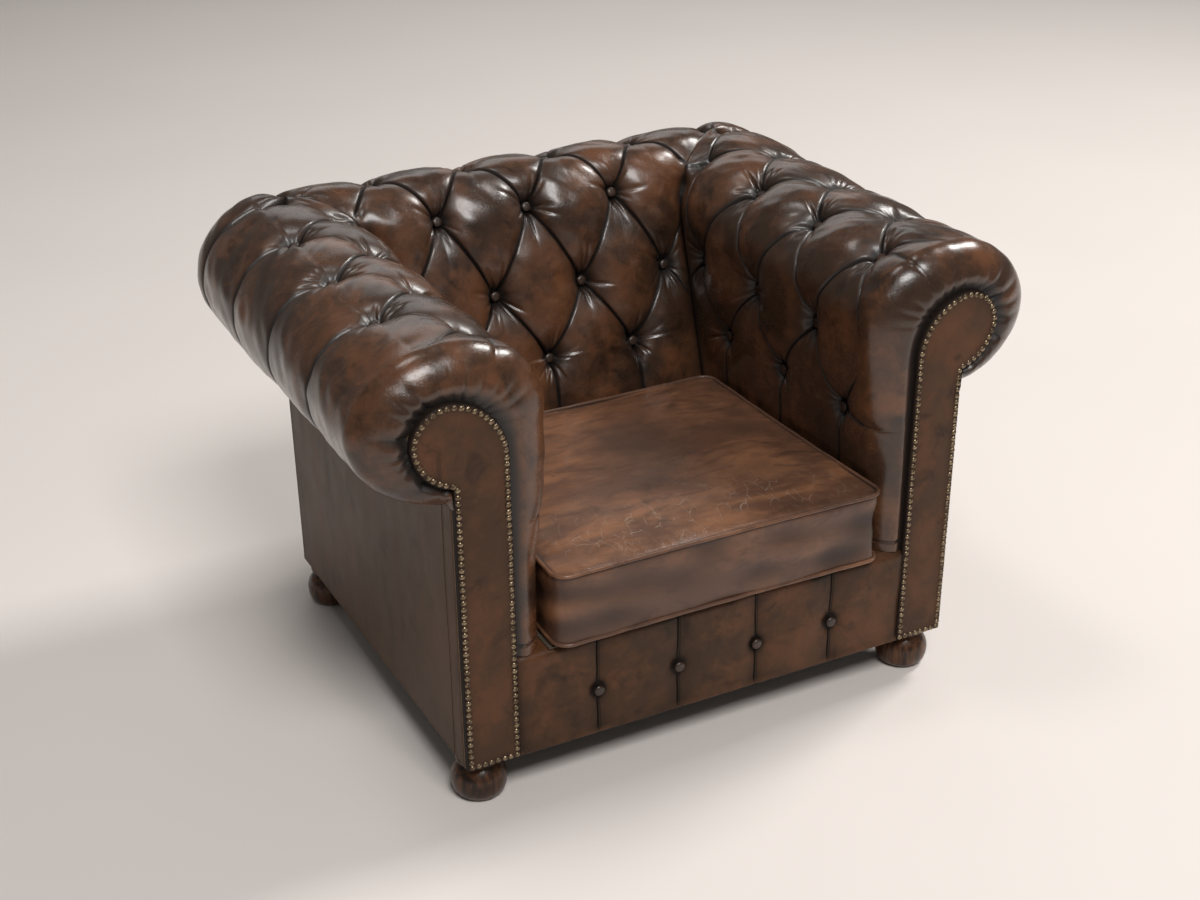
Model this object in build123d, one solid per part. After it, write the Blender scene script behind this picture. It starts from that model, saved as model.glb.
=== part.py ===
"""Chesterfield armchair: beech frame, deep-buttoned scroll arms and back, loose seat cushion.

Lengths are millimetres and angles are degrees. +X is to the right as seen from the front,
the front faces -Y and +Z is up. The origin is on the floor under the middle of the chair.
Depths are measured back from the front face of the arm facings, and sides from the middle plane.
"""

import os
from math import atan2, cos, degrees, pi, radians, sin, sqrt, tan

from build123d import *

# Base of the chair
base_half_width = 437
body_depth = 751
base_height = 76
facing_width = 88
facing_thickness = 12
panel_thickness = 6
soft_gap = 0.3
least_bow = 0.05
cut_overrun = 20

# Frame timber
board_thickness = 25
rail_height = 100
post_width = 45
timber_drop = 53
arm_rail_width = 50
back_rail_width = 59
arm_rail_notch = 40
lining_rear_gap = 186
slat_width = 70
edge_board_thickness = 18
stuffing_rail_size = 24
corner_block_leg = 60
lining_thickness = 4

# Seat
platform_top = 250
strap_width = 50
strap_thickness = 2
slat_clearance = 26
straps_across = 5
straps_along = 6
deck_thickness = 5.5
deck_side_gap = 1
deck_front_gap = 3
border_flap_depth = 55
border_flap_thickness = 12
border_roll_radius = 13
border_end_gap = 136
border_button_shares = (-1.5, -0.5, 0.5, 1.5)
border_button_height = 152
border_pleat_width = 9
border_pleat_depth = 3.5
dust_cover_thickness = 1.2
dust_cover_inset = 9

# Scroll of the arms and back, measured at the seams of the buttoning
roll_height = 639
arm_roll_inset = 20
back_roll_inset = 20
arm_inner_radius = 119
back_inner_radius = 79
outer_radius = 134
arm_rise = 93
back_rise = 113
roll_drop = 101
puff = 23
mitre_reach = 300
mitre_width = 500
back_lean = 16.8
wall_drop_per_degree = 1.9
wall_thickness = 50
front_rounding = 46
roll_front_depth = 2
front_round_shares = (0, 0.13, 0.35, 0.63)

# Buttoning: rows run round the roll, and even and odd rows are half a pitch apart
arm_first_button_depth = 126
arm_rear_gap = 165
back_end_gap = 44.5
arm_row_angles = (-128, -90, -29, 60, 108, 180, 262)
back_row_angles = (-149, -107, -41, 36, 108, 180, 262)
arm_crown_shares = (0.0, 0.52, 1.0, 1.0, 1.0, 1.0, 1.0)
back_crown_shares = (0.6, 0.9, 1.0, 1.0, 1.0, 1.0, 1.0)
arm_seam_shares = (0.1, 0.5, 1.0, 1.0, 0.6, 0.35, 0.25)
back_seam_shares = (0.5, 0.9, 1.0, 1.0, 0.6, 0.35, 0.25)
last_button_row = 4
last_row = 5.75
row_steps = 4
station_steps = 4
arm_half_pitches = 6.5
arm_buttons_in_row = 3
back_odd_row_shares = (-1, 0, 1)
back_even_row_shares = (-1.5, -0.5, 0.5, 1.5)
corner_button_row = 3
corner_button_share = 1.96
back_half_pitches = 3.5
corner_steps = 6
button_radius = 9
button_height = 6
button_edge = 2.5
button_sink = 9
border_button_sink = 4
button_sides = 12
hollow_sides = 8
dimple_radius = 20
dimple_rise = 5

# Facing outline
scroll_spring_drop = 54
scroll_top_inset = 9
scroll_top_rise = 43
scroll_overhang = 61
scroll_outer_drop = 13
scroll_hook_drop = 86
scroll_inner_bulge = 22
scroll_crown_bulge = 20
scroll_hook_bulge = 16
nail_inset = 6
nail_width = 9.5
nail_height = 3

# Loose cushion
cushion_side_gap = 5
cushion_rear_gap = 2.2
cushion_overhang = 21
cushion_edge_height = 121
cushion_crown = 27
cushion_corner_radius = 26
cushion_corner_steps = 4
cushion_side_draw = 4
cushion_draw_shares = (0.25, 0.5, 0.75)
cushion_cover_thickness = 2.5
cushion_bottom_shares = ((0, 0.04), (0.06, 0), (0.5, 0.006), (1, 0))
cushion_crown_shares = ((0.3, 0.03), (0.6, 0.11), (0.83, 0.27), (1, 0.55))
piping_radius = 4
piping_stand = 5

# Bun feet
foot_radius = 44
foot_sides = 24
foot_profile_shares = (
    (0.66, 0), (0.89, 0.1), (1, 0.32), (0.97, 0.5), (0.81, 0.71), (0.68, 0.79), (0.8, 0.83),
    (0.8, 0.91), (0.68, 0.95), (0.68, 1),
)
front_foot_depth = 51
rear_foot_inset = 35
foot_side_inset = 38
bolt_radius = 5
bolt_clearance = 0.2
bolt_start = 36
bolt_length = 74

# Places worked out from the sizes above
arm_roll_side = base_half_width - arm_roll_inset
arm_wall_side = arm_roll_side - arm_inner_radius
back_roll_depth = body_depth - back_roll_inset
back_pitch = (arm_wall_side - back_end_gap) / back_even_row_shares[-1]
arm_pitch = (back_roll_depth - arm_rear_gap - arm_first_button_depth) / (arm_buttons_in_row - 0.5)
facing_inner_side = base_half_width - facing_width
border_button_pitch = (facing_inner_side - border_end_gap) / border_button_shares[-1]
timber_top = roll_height - timber_drop
lining_depth_end = back_roll_depth - lining_rear_gap
rear_foot_depth = body_depth - rear_foot_inset
foot_side = base_half_width - foot_side_inset
panel_inner_side = base_half_width - panel_thickness
panel_inner_depth = body_depth - panel_thickness
board_back = facing_thickness + board_thickness
rail_top = base_height + rail_height
web_top = rail_top + 2 * strap_thickness
rail_bottom_upper = timber_top - board_thickness
post_outer_side = panel_inner_side
post_inner_side = post_outer_side - post_width
rear_post_depth = panel_inner_depth - post_width
outer_limit_side = base_half_width + soft_gap
outer_limit_depth = body_depth + soft_gap
roll_floor = timber_top + soft_gap
overall_rear = back_roll_depth + outer_radius + puff
middle_depth = (overall_rear - cushion_overhang) / 2
deck_bottom = platform_top + soft_gap
deck_top = deck_bottom + deck_thickness
cushion_bottom = deck_top + soft_gap
cushion_edge_top = cushion_bottom + cushion_edge_height
cushion_half_width = arm_wall_side - cushion_side_gap
mitre_turn = atan2(back_inner_radius, arm_inner_radius)


def place(side, depth, height):
    """Point of the chair from its side, its depth behind the facings and its height."""
    return Vector(side, depth - middle_depth, height)


def block(side_from, side_to, depth_from, depth_to, bottom, top):
    """Plain rectangular timber between two sides, two depths and two heights."""
    low = place(side_from, depth_from, bottom)
    high = place(side_to, depth_to, top)
    size = high - low
    middle = (low + high) / 2
    return Pos(middle.X, middle.Y, middle.Z) * Box(size.X, size.Y, size.Z)


def prism(points, axis, length):
    """Solid between a closed outline of points and its copy moved along the axis."""
    edges = [Line(a, b) for a, b in zip(points, points[1:] + points[:1])]
    return extrude(Face(Wire(edges)), amount=length, dir=axis)


def both_sides(shape):
    """The shape as drawn on the right, and its mirror image on the left."""
    return {"right": shape, "left": mirror(shape, about=Plane.YZ)}


def between(values, row):
    """Value at a row that may lie between two rows of the list."""
    low = min(int(row), len(values) - 2)
    share = row - low
    return values[low] * (1 - share) + values[low + 1] * share


class Scroll:
    """Cross-section of an arm or of the back: a wall that rolls over outwards."""

    def __init__(self, centre, inner, rise, lean, angles, crown_shares, seam_shares, limit):
        self.centre = centre
        self.inner = inner
        self.rise = rise
        self.lean = lean
        self.angles = angles
        self.crown_shares = crown_shares
        self.seam_shares = seam_shares
        self.limit = limit

    def raised(self, rise):
        """The same scroll with another height above its centre."""
        rows = (self.angles, self.crown_shares, self.seam_shares)
        return Scroll(self.centre, self.inner, rise, self.lean, *rows, self.limit)

    def spring_angle(self):
        """Angle at which the wall runs tangent into the roll."""
        return degrees(atan2(tan(radians(self.lean)) * self.rise, self.inner))

    def normal(self, angle):
        """Direction that points straight out of the leather at an angle."""
        turn = radians(max(angle, self.spring_angle()))
        wide = self.inner if turn <= pi / 2 else outer_radius
        tall = self.rise if turn <= pi else roll_drop
        return Vector(-cos(turn) / wide, sin(turn) / tall).normalized()

    def point(self, angle, lift):
        """Point of the section at an angle, lifted off the seam line along its normal."""
        turn = radians(max(angle, self.spring_angle()))
        wide = self.inner if turn <= pi / 2 else outer_radius
        tall = self.rise if turn <= pi else roll_drop
        out = self.centre - wide * cos(turn)
        up = roll_height + tall * sin(turn)
        normal = self.normal(angle)
        down = max(self.spring_angle() - angle, 0) * wall_drop_per_degree
        out -= down * sin(radians(self.lean))
        up -= down * cos(radians(self.lean))
        return out + normal.X * lift, up + normal.Y * lift

    def lift(self, row, station, tufted):
        """Height of the leather above the seam line, from crowns down to the buttoned seams."""
        diamond_row = min(max(row, 1), last_button_row)
        along = sin(pi * (diamond_row + station) / 2)
        across = sin(pi * (diamond_row - station) / 2)
        sunk = (1 - sqrt(abs(along * across))) * tufted
        return puff * (between(self.crown_shares, row) - between(self.seam_shares, row) * sunk)

    def seam_height(self, row):
        """Height of the buttoned seams above the seam line at a row, on the plain crown's scale."""
        return puff * (between(self.crown_shares, row) - between(self.seam_shares, row))

    def wall_point(self, height, behind):
        """Point of the straight wall at a height, some way behind its face."""
        out, up = self.point(self.angles[0], 0)
        slope = tan(radians(self.lean))
        return out + (height - up) * slope + behind / cos(radians(self.lean)), height

    def section(self, station, tufted, inset):
        """Points of the leather from the wall's foot to the underside, and the share of tufting."""
        rows = [row / row_steps for row in range(int(last_row * row_steps))]
        points = [self.wall_point(platform_top + soft_gap, inset)]
        lifts = [0]
        for row in rows:
            lift = self.lift(row, station, tufted)
            points.append(self.point(between(self.angles, row), lift - inset))
            lifts.append(lift - self.seam_height(row))
        reach = (self.limit - self.centre) / (outer_radius + puff - inset)
        under = roll_height - (roll_drop + puff - inset) * sqrt(1 - reach**2)
        points.append((self.limit, under))
        lifts.append(0)
        return points, lifts

    def inside(self):
        """Points of the section behind the leather: under the roll and down the back of the wall."""
        upper = self.wall_point(roll_floor, wall_thickness)
        lower = self.wall_point(platform_top + soft_gap, wall_thickness)
        return [(self.limit, roll_floor), upper, lower]


arm_scroll = Scroll(
    arm_roll_side, arm_inner_radius, arm_rise, 0, arm_row_angles, arm_crown_shares,
    arm_seam_shares, outer_limit_side,
)
back_scroll = Scroll(
    back_roll_depth, back_inner_radius, back_rise, back_lean, back_row_angles,
    back_crown_shares, back_seam_shares, outer_limit_depth,
)
seat_back = back_scroll.wall_point(cushion_bottom, 0)[0] - cushion_rear_gap
cushion_length = seat_back + cushion_overhang


def arm_station(depth):
    """Station number at a depth: odd at the rows of the first button, even between them."""
    return 1 + (depth - arm_first_button_depth) / (arm_pitch / 2)


def arm_rise_at(depth):
    """Height of the arm's roll above its centre, which climbs to meet the back."""
    share = max(depth - arm_first_button_depth, 0) / (back_roll_depth - arm_first_button_depth)
    return arm_rise + (back_rise - arm_rise) * share**2


def polygon(points):
    """Flat face inside a closed line of points."""
    return Face(Wire.make_polygon(points, close=True))


def closed(faces):
    """Solid inside a closed skin of faces, turned the right way out."""
    solid = Solid(Shell(faces))
    return solid if solid.volume > 0 else -solid


def stacked(rings):
    """Solid through rings of points that lie one above the other."""
    faces = [polygon(rings[0]), polygon(rings[-1])]
    for low, high in zip(rings, rings[1:]):
        for a, b, c, d in zip(low, low[1:] + low[:1], high[1:] + high[:1], high):
            faces += [polygon([a, b, c]), polygon([a, c, d])]
    return closed(faces)


def folded(near, far, near_lifts, far_lifts):
    """Skin between two sections, in triangles that fold along the seams of the buttoning."""
    faces = []
    for row in range(len(near) - 1):
        a, b, c, d = near[row], near[row + 1], far[row + 1], far[row]
        straight = near_lifts[row] + far_lifts[row + 1]
        crossed = near_lifts[row + 1] + far_lifts[row]
        on_seam = straight < least_bow or (crossed >= least_bow and straight >= crossed)
        if on_seam:
            faces += [polygon([a, b, c]), polygon([a, c, d])]
        else:
            faces += [polygon([a, b, d]), polygon([b, c, d])]
    return faces


def padded(columns, lifts, near_inside, far_inside):
    """Closed solid under a skin of sections, with flat sides behind it and at both ends."""
    faces = []
    for index in range(len(columns) - 1):
        faces += folded(columns[index], columns[index + 1], lifts[index], lifts[index + 1])
    under = [column[-1] for column in columns]
    foot = [column[0] for column in columns]
    faces.append(polygon(under + [far_inside[0], near_inside[0]]))
    faces.append(polygon(foot + [far_inside[-1], near_inside[-1]]))
    for index in range(len(near_inside) - 1):
        near = near_inside[index : index + 2]
        far = far_inside[index : index + 2]
        faces.append(polygon(near + far[::-1]))
    faces.append(polygon(columns[0] + near_inside))
    faces.append(polygon(columns[-1] + far_inside))
    return closed(faces)


def arm_form():
    """Right arm's stuffing and leather, from the facing back to the middle of the back roll."""
    stations = []
    for share in front_round_shares:
        depth = roll_front_depth + front_rounding * share
        inset = front_rounding * (1 - sqrt(1 - (1 - share) ** 2))
        stations.append((depth, 0, inset))
    first = arm_first_button_depth - arm_pitch / 2
    quarter = arm_pitch / 2 / station_steps
    plain_step = station_steps / 2
    for index in range(int(arm_half_pitches * station_steps) + 1):
        tufted = min(index / plain_step, 1)
        stations.append((first + index * quarter, tufted, 0))
    stations.append((back_roll_depth, 0, 0))
    columns = []
    lifts = []
    for depth, tufted, inset in stations:
        scroll = arm_scroll.raised(arm_rise_at(depth))
        points, heights = scroll.section(arm_station(depth), tufted, inset)
        columns.append([place(out, depth, up) for out, up in points])
        lifts.append(heights)
    near = [place(out, stations[0][0], up) for out, up in arm_scroll.inside()]
    far = [place(out, stations[-1][0], up) for out, up in arm_scroll.inside()]
    return padded(columns, lifts, near, far)


def back_form():
    """Back stuffing and leather between the middles of the two arm rolls."""
    quarter = back_pitch / 2 / station_steps
    count = int(back_half_pitches * station_steps)
    sides = [index * quarter for index in range(-count, count + 1)]
    columns = []
    lifts = []
    for side in [-arm_roll_side] + sides + [arm_roll_side]:
        tufted = 0 if abs(side) == arm_roll_side else 1
        points, heights = back_scroll.section(1 + side / (back_pitch / 2), tufted, 0)
        columns.append([place(side, out, up) for out, up in points])
        lifts.append(heights)
    near = [place(-arm_roll_side, out, up) for out, up in back_scroll.inside()]
    far = [place(arm_roll_side, out, up) for out, up in back_scroll.inside()]
    return padded(columns, lifts, near, far)


def corner_form():
    """Right rear corner of the roll: the outer half of the section turned about its centre."""
    points = back_scroll.section(0, 0, 0)[0]
    under = points[-1][1]
    outer = []
    for out, up in points:
        if out > back_roll_depth - least_bow and up > under - least_bow:
            outer.append((out - back_roll_depth, up))
    columns = []
    for index in range(corner_steps + 1):
        turn = radians(90 * index / corner_steps)
        column = []
        for reach, up in outer:
            side = arm_roll_side + reach * cos(turn)
            column.append(place(side, back_roll_depth + reach * sin(turn), up))
        columns.append(column)
    level = [0] * len(outer)
    faces = []
    for near, far in zip(columns, columns[1:]):
        top = near[0]
        faces.append(polygon([top, near[1], far[1]]))
        faces += folded(near[1:], far[1:], level[1:], level[1:])
    low = place(arm_roll_side, back_roll_depth, under)
    faces.append(polygon([column[-1] for column in columns] + [low]))
    faces.append(polygon(columns[0] + [low]))
    faces.append(polygon(columns[-1] + [low]))
    return closed(faces)


def mitre(gap):
    """Blocks in front of and behind the right mitre, where the arm's leather meets the back's."""
    along = Vector(cos(mitre_turn), sin(mitre_turn), 0)
    across = Vector(-sin(mitre_turn), cos(mitre_turn), 0)
    out, up = back_scroll.point(back_scroll.angles[0], 0)
    knee_depth = back_roll_depth - back_inner_radius
    knee = up + (knee_depth - out) / tan(radians(back_lean))
    low = base_height
    low_offset = (back_scroll.wall_point(low, 0)[0] - knee_depth) * cos(mitre_turn)
    high = roll_height + back_rise + puff + cut_overrun
    start = place(arm_wall_side, knee_depth, 0) - along * mitre_reach

    def at(offset, height):
        return start + across * offset + Vector(0, 0, height)

    blocks = []
    for edge, sign in ((mitre_width, 1), (-mitre_width, -1)):
        shift = -gap * sign / 2
        line = [at(shift, high), at(shift, knee), at(low_offset + shift, low)]
        outline = line + [at(edge, low), at(edge, high)]
        blocks.append(prism(outline, along, 2 * mitre_reach))
    in_behind, in_front = blocks
    return in_front, in_behind


def turned(profile, sides):
    """Turned form with flats round it, from the radius and height of each of its rings."""
    rings = []
    for radius, height in profile:
        turns = [2 * pi * index / sides for index in range(sides)]
        rings.append([Vector(radius * cos(turn), radius * sin(turn), height) for turn in turns])
    return stacked(rings)


def seat_plane(origin, normal):
    """Plane at a button's seat, with its axis straight out of the leather."""
    return Plane(origin=origin, z_dir=normal)


def covered_button(plane):
    """Leather-covered button: a flat cap with a bevelled edge."""
    profile = [
        (button_radius, 0),
        (button_radius, button_height - button_edge),
        (button_radius - button_edge, button_height),
    ]
    return plane * turned(profile, button_sides)


def button_hollow(plane, sink):
    """Hollow that a button is pulled into: a round well that flares out at the leather."""
    radius = (button_radius + soft_gap) / cos(pi / hollow_sides)
    profile = [
        (radius, 0),
        (radius, sink - button_edge),
        (dimple_radius, sink + dimple_rise),
        (dimple_radius, sink + dimple_radius),
    ]
    return plane * turned(profile, hollow_sides)


def button_planes(scroll, row, station, spot):
    """Plane under the button of a row and station, put in the chair by the spot function."""
    angle = between(scroll.angles, row)
    out, up = scroll.point(angle, scroll.seam_height(row) - button_sink)
    normal = scroll.normal(angle)
    return spot(out, up, normal)


def arm_button_planes():
    """Planes under the right arm's buttons, in rows half a pitch apart."""
    planes = []
    for row in range(1, last_button_row + 1):
        for index in range(arm_buttons_in_row):
            depth = arm_first_button_depth + index * arm_pitch + (1 - row % 2) * arm_pitch / 2
            scroll = arm_scroll.raised(arm_rise_at(depth))

            def spot(out, up, normal, depth=depth):
                return seat_plane(place(out, depth, up), (normal.X, 0, normal.Y))

            planes.append(button_planes(scroll, row, arm_station(depth), spot))
    return planes


def back_button_planes():
    """Planes under the back's buttons, with the two that sit in the corners last."""
    planes = []
    for row in range(1, last_button_row + 1):
        shifts = back_odd_row_shares if row % 2 else back_even_row_shares
        if row == corner_button_row:
            shifts = shifts + (-corner_button_share, corner_button_share)
        for share in shifts:
            side = share * back_pitch

            def spot(out, up, normal, side=side):
                return seat_plane(place(side, out, up), (0, normal.X, normal.Y))

            planes.append(button_planes(back_scroll, row, 1 + 2 * share, spot))
    return planes


def facing_outline(grow=0):
    """Face of the arm facing on the right: a straight board with a scroll head that hooks outwards."""
    corners = [
        (facing_inner_side, base_height),
        (facing_inner_side, roll_height - scroll_spring_drop),
        (base_half_width - scroll_top_inset, roll_height + scroll_top_rise),
        (base_half_width + scroll_overhang, roll_height - scroll_outer_drop),
        (base_half_width, roll_height - scroll_hook_drop),
        (base_half_width, base_height),
    ]
    bulges = (0, scroll_inner_bulge, scroll_crown_bulge, scroll_hook_bulge, 0, 0)
    edges = []
    for index, bulge in enumerate(bulges):
        start = Vector(*corners[index])
        end = Vector(*corners[(index + 1) % len(corners)])
        if bulge:
            run = (end - start).normalized()
            middle = (start + end) / 2 + Vector(-run.Y, run.X) * bulge
            edges.append(ThreePointArc(start, middle, end))
        else:
            edges.append(Line(start, end))
    face = Face(Wire(edges))
    return offset(face, amount=grow) if grow else face


def upright_board(face, depth_from, depth_to):
    """Board with a face drawn by side and height, between two depths."""
    front = Plane(origin=place(0, depth_to, 0), x_dir=(1, 0, 0), z_dir=(0, -1, 0))
    return extrude(front * face, amount=depth_to - depth_from, dir=(0, -1, 0))


def scroll_pieces():
    """Facing, scroll board and row of nails on the right arm."""
    facing = upright_board(facing_outline(), 0, facing_thickness)
    board = upright_board(facing_outline(), facing_thickness, board_back)
    outer = facing_outline(nail_width / 2 - nail_inset)
    inner = facing_outline(-nail_width / 2 - nail_inset)
    nails = upright_board(outer, -nail_height, 0) - upright_board(inner, -nail_height, 0)
    return facing, board, nails


def upholstery():
    """Right arm, back with both corners, and the buttons of each, all mitred together."""
    in_front, in_behind = mitre(soft_gap)
    arm_planes = arm_button_planes()
    back_planes = back_button_planes()
    corner_plane = back_planes[-1 - len(back_even_row_shares)]
    recess = upright_board(facing_outline(soft_gap), -cut_overrun, board_back + soft_gap)
    arm = arm_form() - in_behind - recess
    arm = arm - [button_hollow(plane, button_sink) for plane in arm_planes]
    arm = arm - button_hollow(corner_plane, button_sink)
    base = block(
        -outer_limit_side, outer_limit_side, 0, outer_limit_depth, base_height, roll_floor
    )
    corner = corner_form() - base
    back = back_form() - in_front - mirror(in_front, about=Plane.YZ)
    back = back + corner + mirror(corner, about=Plane.YZ)
    back = back - [button_hollow(plane, button_sink) for plane in back_planes]
    arm_buttons = Compound([covered_button(plane) for plane in arm_planes])
    back_buttons = Compound([covered_button(plane) for plane in back_planes])
    return arm, back, arm_buttons, back_buttons


def front_border():
    """Front border with its rolled top edge, its pleats, and the four buttons in them."""
    top = platform_top
    inner = border_flap_thickness
    half = facing_inner_side - soft_gap
    section = Wire([
        Line(place(-half, 0, base_height), place(-half, 0, top - border_roll_radius)),
        ThreePointArc(
            place(-half, 0, top - border_roll_radius),
            place(
                -half,
                border_roll_radius * (1 - cos(pi / 4)),
                top - border_roll_radius * (1 - sin(pi / 4)),
            ),
            place(-half, border_roll_radius, top),
        ),
        Line(place(-half, border_roll_radius, top), place(-half, border_flap_depth, top)),
        Line(place(-half, border_flap_depth, top), place(-half, border_flap_depth, top - inner)),
        Line(place(-half, border_flap_depth, top - inner), place(-half, inner, top - inner)),
        Line(place(-half, inner, top - inner), place(-half, inner, base_height)),
        Line(place(-half, inner, base_height), place(-half, 0, base_height)),
    ])
    border = extrude(Face(section), amount=2 * half, dir=(1, 0, 0))
    buttons = []
    for share in border_button_shares:
        side = share * border_button_pitch
        width = border_pleat_width / 2
        groove = [
            place(side - width, -cut_overrun, base_height - cut_overrun),
            place(side - width, 0, base_height - cut_overrun),
            place(side, border_pleat_depth, base_height - cut_overrun),
            place(side + width, 0, base_height - cut_overrun),
            place(side + width, -cut_overrun, base_height - cut_overrun),
        ]
        border -= prism(groove, Vector(0, 0, 1), top - base_height + 2 * cut_overrun)
        plane = seat_plane(place(side, border_button_sink, border_button_height), (0, -1, 0))
        well_radius = button_radius + soft_gap
        well = turned([(well_radius, 0), (well_radius, cut_overrun)], button_sides)
        border -= plane * well
        buttons.append(covered_button(plane))
    return border, Compound(buttons)


def timber():
    """Frame pieces on the middle line, and those on the right that are mirrored to the left."""
    single = {}
    paired = {}
    single["front_rail"] = block(
        -facing_inner_side, facing_inner_side, facing_thickness, board_back, base_height, rail_top
    )
    single["rear_rail"] = block(
        -post_inner_side, post_inner_side, panel_inner_depth - board_thickness,
        panel_inner_depth, base_height, rail_top,
    )
    single["back_top_rail"] = block(
        -post_outer_side, post_outer_side, panel_inner_depth - back_rail_width,
        panel_inner_depth, rail_bottom_upper, timber_top,
    )
    single["back_centre_post"] = block(
        -slat_width / 2, slat_width / 2, panel_inner_depth - board_thickness,
        panel_inner_depth, rail_top, rail_bottom_upper,
    )
    single["front_edge_board"] = block(
        -facing_inner_side, facing_inner_side, border_flap_thickness,
        border_flap_thickness + edge_board_thickness, web_top + soft_gap,
        platform_top - border_flap_thickness,
    )
    paired["front_post"] = block(
        post_inner_side, post_outer_side, board_back, board_back + post_width, base_height,
        rail_bottom_upper,
    )
    paired["rear_post"] = block(
        post_inner_side, post_outer_side, rear_post_depth, panel_inner_depth, base_height,
        rail_bottom_upper,
    )
    paired["side_rail"] = block(
        post_outer_side - board_thickness, post_outer_side, board_back + post_width,
        rear_post_depth, base_height, rail_top,
    )
    lining_side = arm_wall_side + wall_thickness + soft_gap
    rail_side = lining_side + lining_thickness + soft_gap
    rear = panel_inner_depth - back_rail_width
    notch = post_inner_side
    plank = [
        place(rail_side, board_back, rail_bottom_upper),
        place(post_outer_side, board_back, rail_bottom_upper),
        place(post_outer_side, rear, rail_bottom_upper),
        place(notch, rear, rail_bottom_upper),
        place(notch, rear - arm_rail_notch, rail_bottom_upper),
        place(rail_side, rear - arm_rail_notch, rail_bottom_upper),
    ]
    paired["arm_rail"] = prism(plank, Vector(0, 0, 1), board_thickness)
    paired["arm_lining"] = block(
        lining_side, lining_side + lining_thickness, border_flap_depth + soft_gap,
        lining_depth_end, web_top + soft_gap, timber_top,
    )
    front, low = back_scroll.wall_point(web_top + soft_gap, wall_thickness + soft_gap)
    upper = back_scroll.wall_point(timber_top, wall_thickness + soft_gap)[0]
    depth = lining_thickness / cos(radians(back_lean))
    board = [
        place(-lining_side, front, low),
        place(-lining_side, front + depth, low),
        place(-lining_side, upper + depth, timber_top),
        place(-lining_side, upper, timber_top),
    ]
    single["back_lining"] = prism(board, Vector(1, 0, 0), 2 * lining_side)
    stuffing_front = front + depth + stuffing_rail_size * tan(radians(back_lean)) + soft_gap
    single["back_stuffing_rail"] = block(
        -post_outer_side, post_outer_side, stuffing_front, stuffing_front + stuffing_rail_size,
        web_top + soft_gap, web_top + soft_gap + stuffing_rail_size,
    )
    paired["arm_stuffing_rail"] = block(
        rail_side, rail_side + stuffing_rail_size, board_back, stuffing_front - soft_gap,
        web_top + soft_gap, web_top + soft_gap + stuffing_rail_size,
    )
    single["seat_platform"] = block(
        -lining_side + soft_gap, lining_side - soft_gap, border_flap_depth + soft_gap,
        front - soft_gap, web_top + soft_gap, platform_top,
    )
    single["deck_pad"] = block(
        -arm_wall_side + deck_side_gap, arm_wall_side - deck_side_gap, deck_front_gap,
        back_scroll.wall_point(deck_bottom, 0)[0] - deck_side_gap, deck_bottom, deck_top,
    )
    return single, paired


def corner_blocks():
    """Four triangular blocks that brace the rails and posts at the corners."""
    bottom = base_height + (rail_height - corner_block_leg) / 2
    blocks = []
    rear = panel_inner_depth - board_thickness
    for depth, leg in ((board_back, corner_block_leg), (rear, -corner_block_leg)):
        outline = [
            place(post_inner_side, depth, bottom),
            place(post_inner_side, depth + leg, bottom),
            place(post_inner_side - corner_block_leg, depth, bottom),
        ]
        brace = prism(outline, Vector(0, 0, 1), corner_block_leg)
        blocks += [brace, mirror(brace, about=Plane.YZ)]
    return Compound(blocks)


def webbing():
    """Straps over the rails: crosswise ones below, lengthwise ones lying on them."""
    across = []
    front = board_back + post_width
    span = rear_post_depth - front
    for index in range(straps_across):
        middle = front + span * (index + 1) / (straps_across + 1)
        across.append(block(
            -post_outer_side, post_outer_side, middle - strap_width / 2,
            middle + strap_width / 2, rail_top, rail_top + strap_thickness,
        ))
    along = []
    for index in range(straps_along):
        middle = -facing_inner_side + 2 * facing_inner_side * (index + 1) / (straps_along + 1)
        along.append(block(
            middle - strap_width / 2, middle + strap_width / 2, facing_thickness,
            panel_inner_depth - slat_clearance, rail_top + strap_thickness, web_top,
        ))
    return Compound(across), Compound(along)


def panels():
    """Leather-covered panels on the outside of the right arm and of the back."""
    side = block(
        panel_inner_side, base_half_width, board_back, panel_inner_depth, base_height, timber_top
    )
    back = block(
        -base_half_width, base_half_width, panel_inner_depth, body_depth, base_height, timber_top
    )
    return side, back


def feet():
    """Bun feet with the bolts that hold them, and the dust cover that fits round their necks."""
    profile = [(foot_radius * wide, base_height * high) for wide, high in foot_profile_shares]
    bun = turned(profile, foot_sides)
    neck_radius = profile[-1][0] + soft_gap
    low = (Align.CENTER, Align.CENTER, Align.MIN)
    hole = Pos(0, 0, bolt_start) * Cylinder(bolt_radius + bolt_clearance, bolt_length, align=low)
    bolt = Pos(0, 0, bolt_start) * Cylinder(bolt_radius, bolt_length, align=low)
    neck = turned([(neck_radius, 0), (neck_radius, base_height)], foot_sides)
    spots = {}
    for name, depth in (("front", front_foot_depth), ("rear", rear_foot_depth)):
        for hand, side in (("left", -foot_side), ("right", foot_side)):
            spot = place(side, depth, 0)
            spots[f"{name}_{hand}_foot"] = Pos(spot.X, spot.Y, 0)
    cover = block(
        -post_outer_side, post_outer_side, facing_thickness + dust_cover_inset,
        panel_inner_depth, base_height - dust_cover_thickness, base_height,
    )
    for spot in spots.values():
        cover -= spot * neck
    buns = {name: spot * (bun - hole) for name, spot in spots.items()}
    bolts = Compound([spot * bolt for spot in spots.values()])
    holes = [spot * hole for spot in spots.values()]
    return buns, bolts, holes, cover


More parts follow.
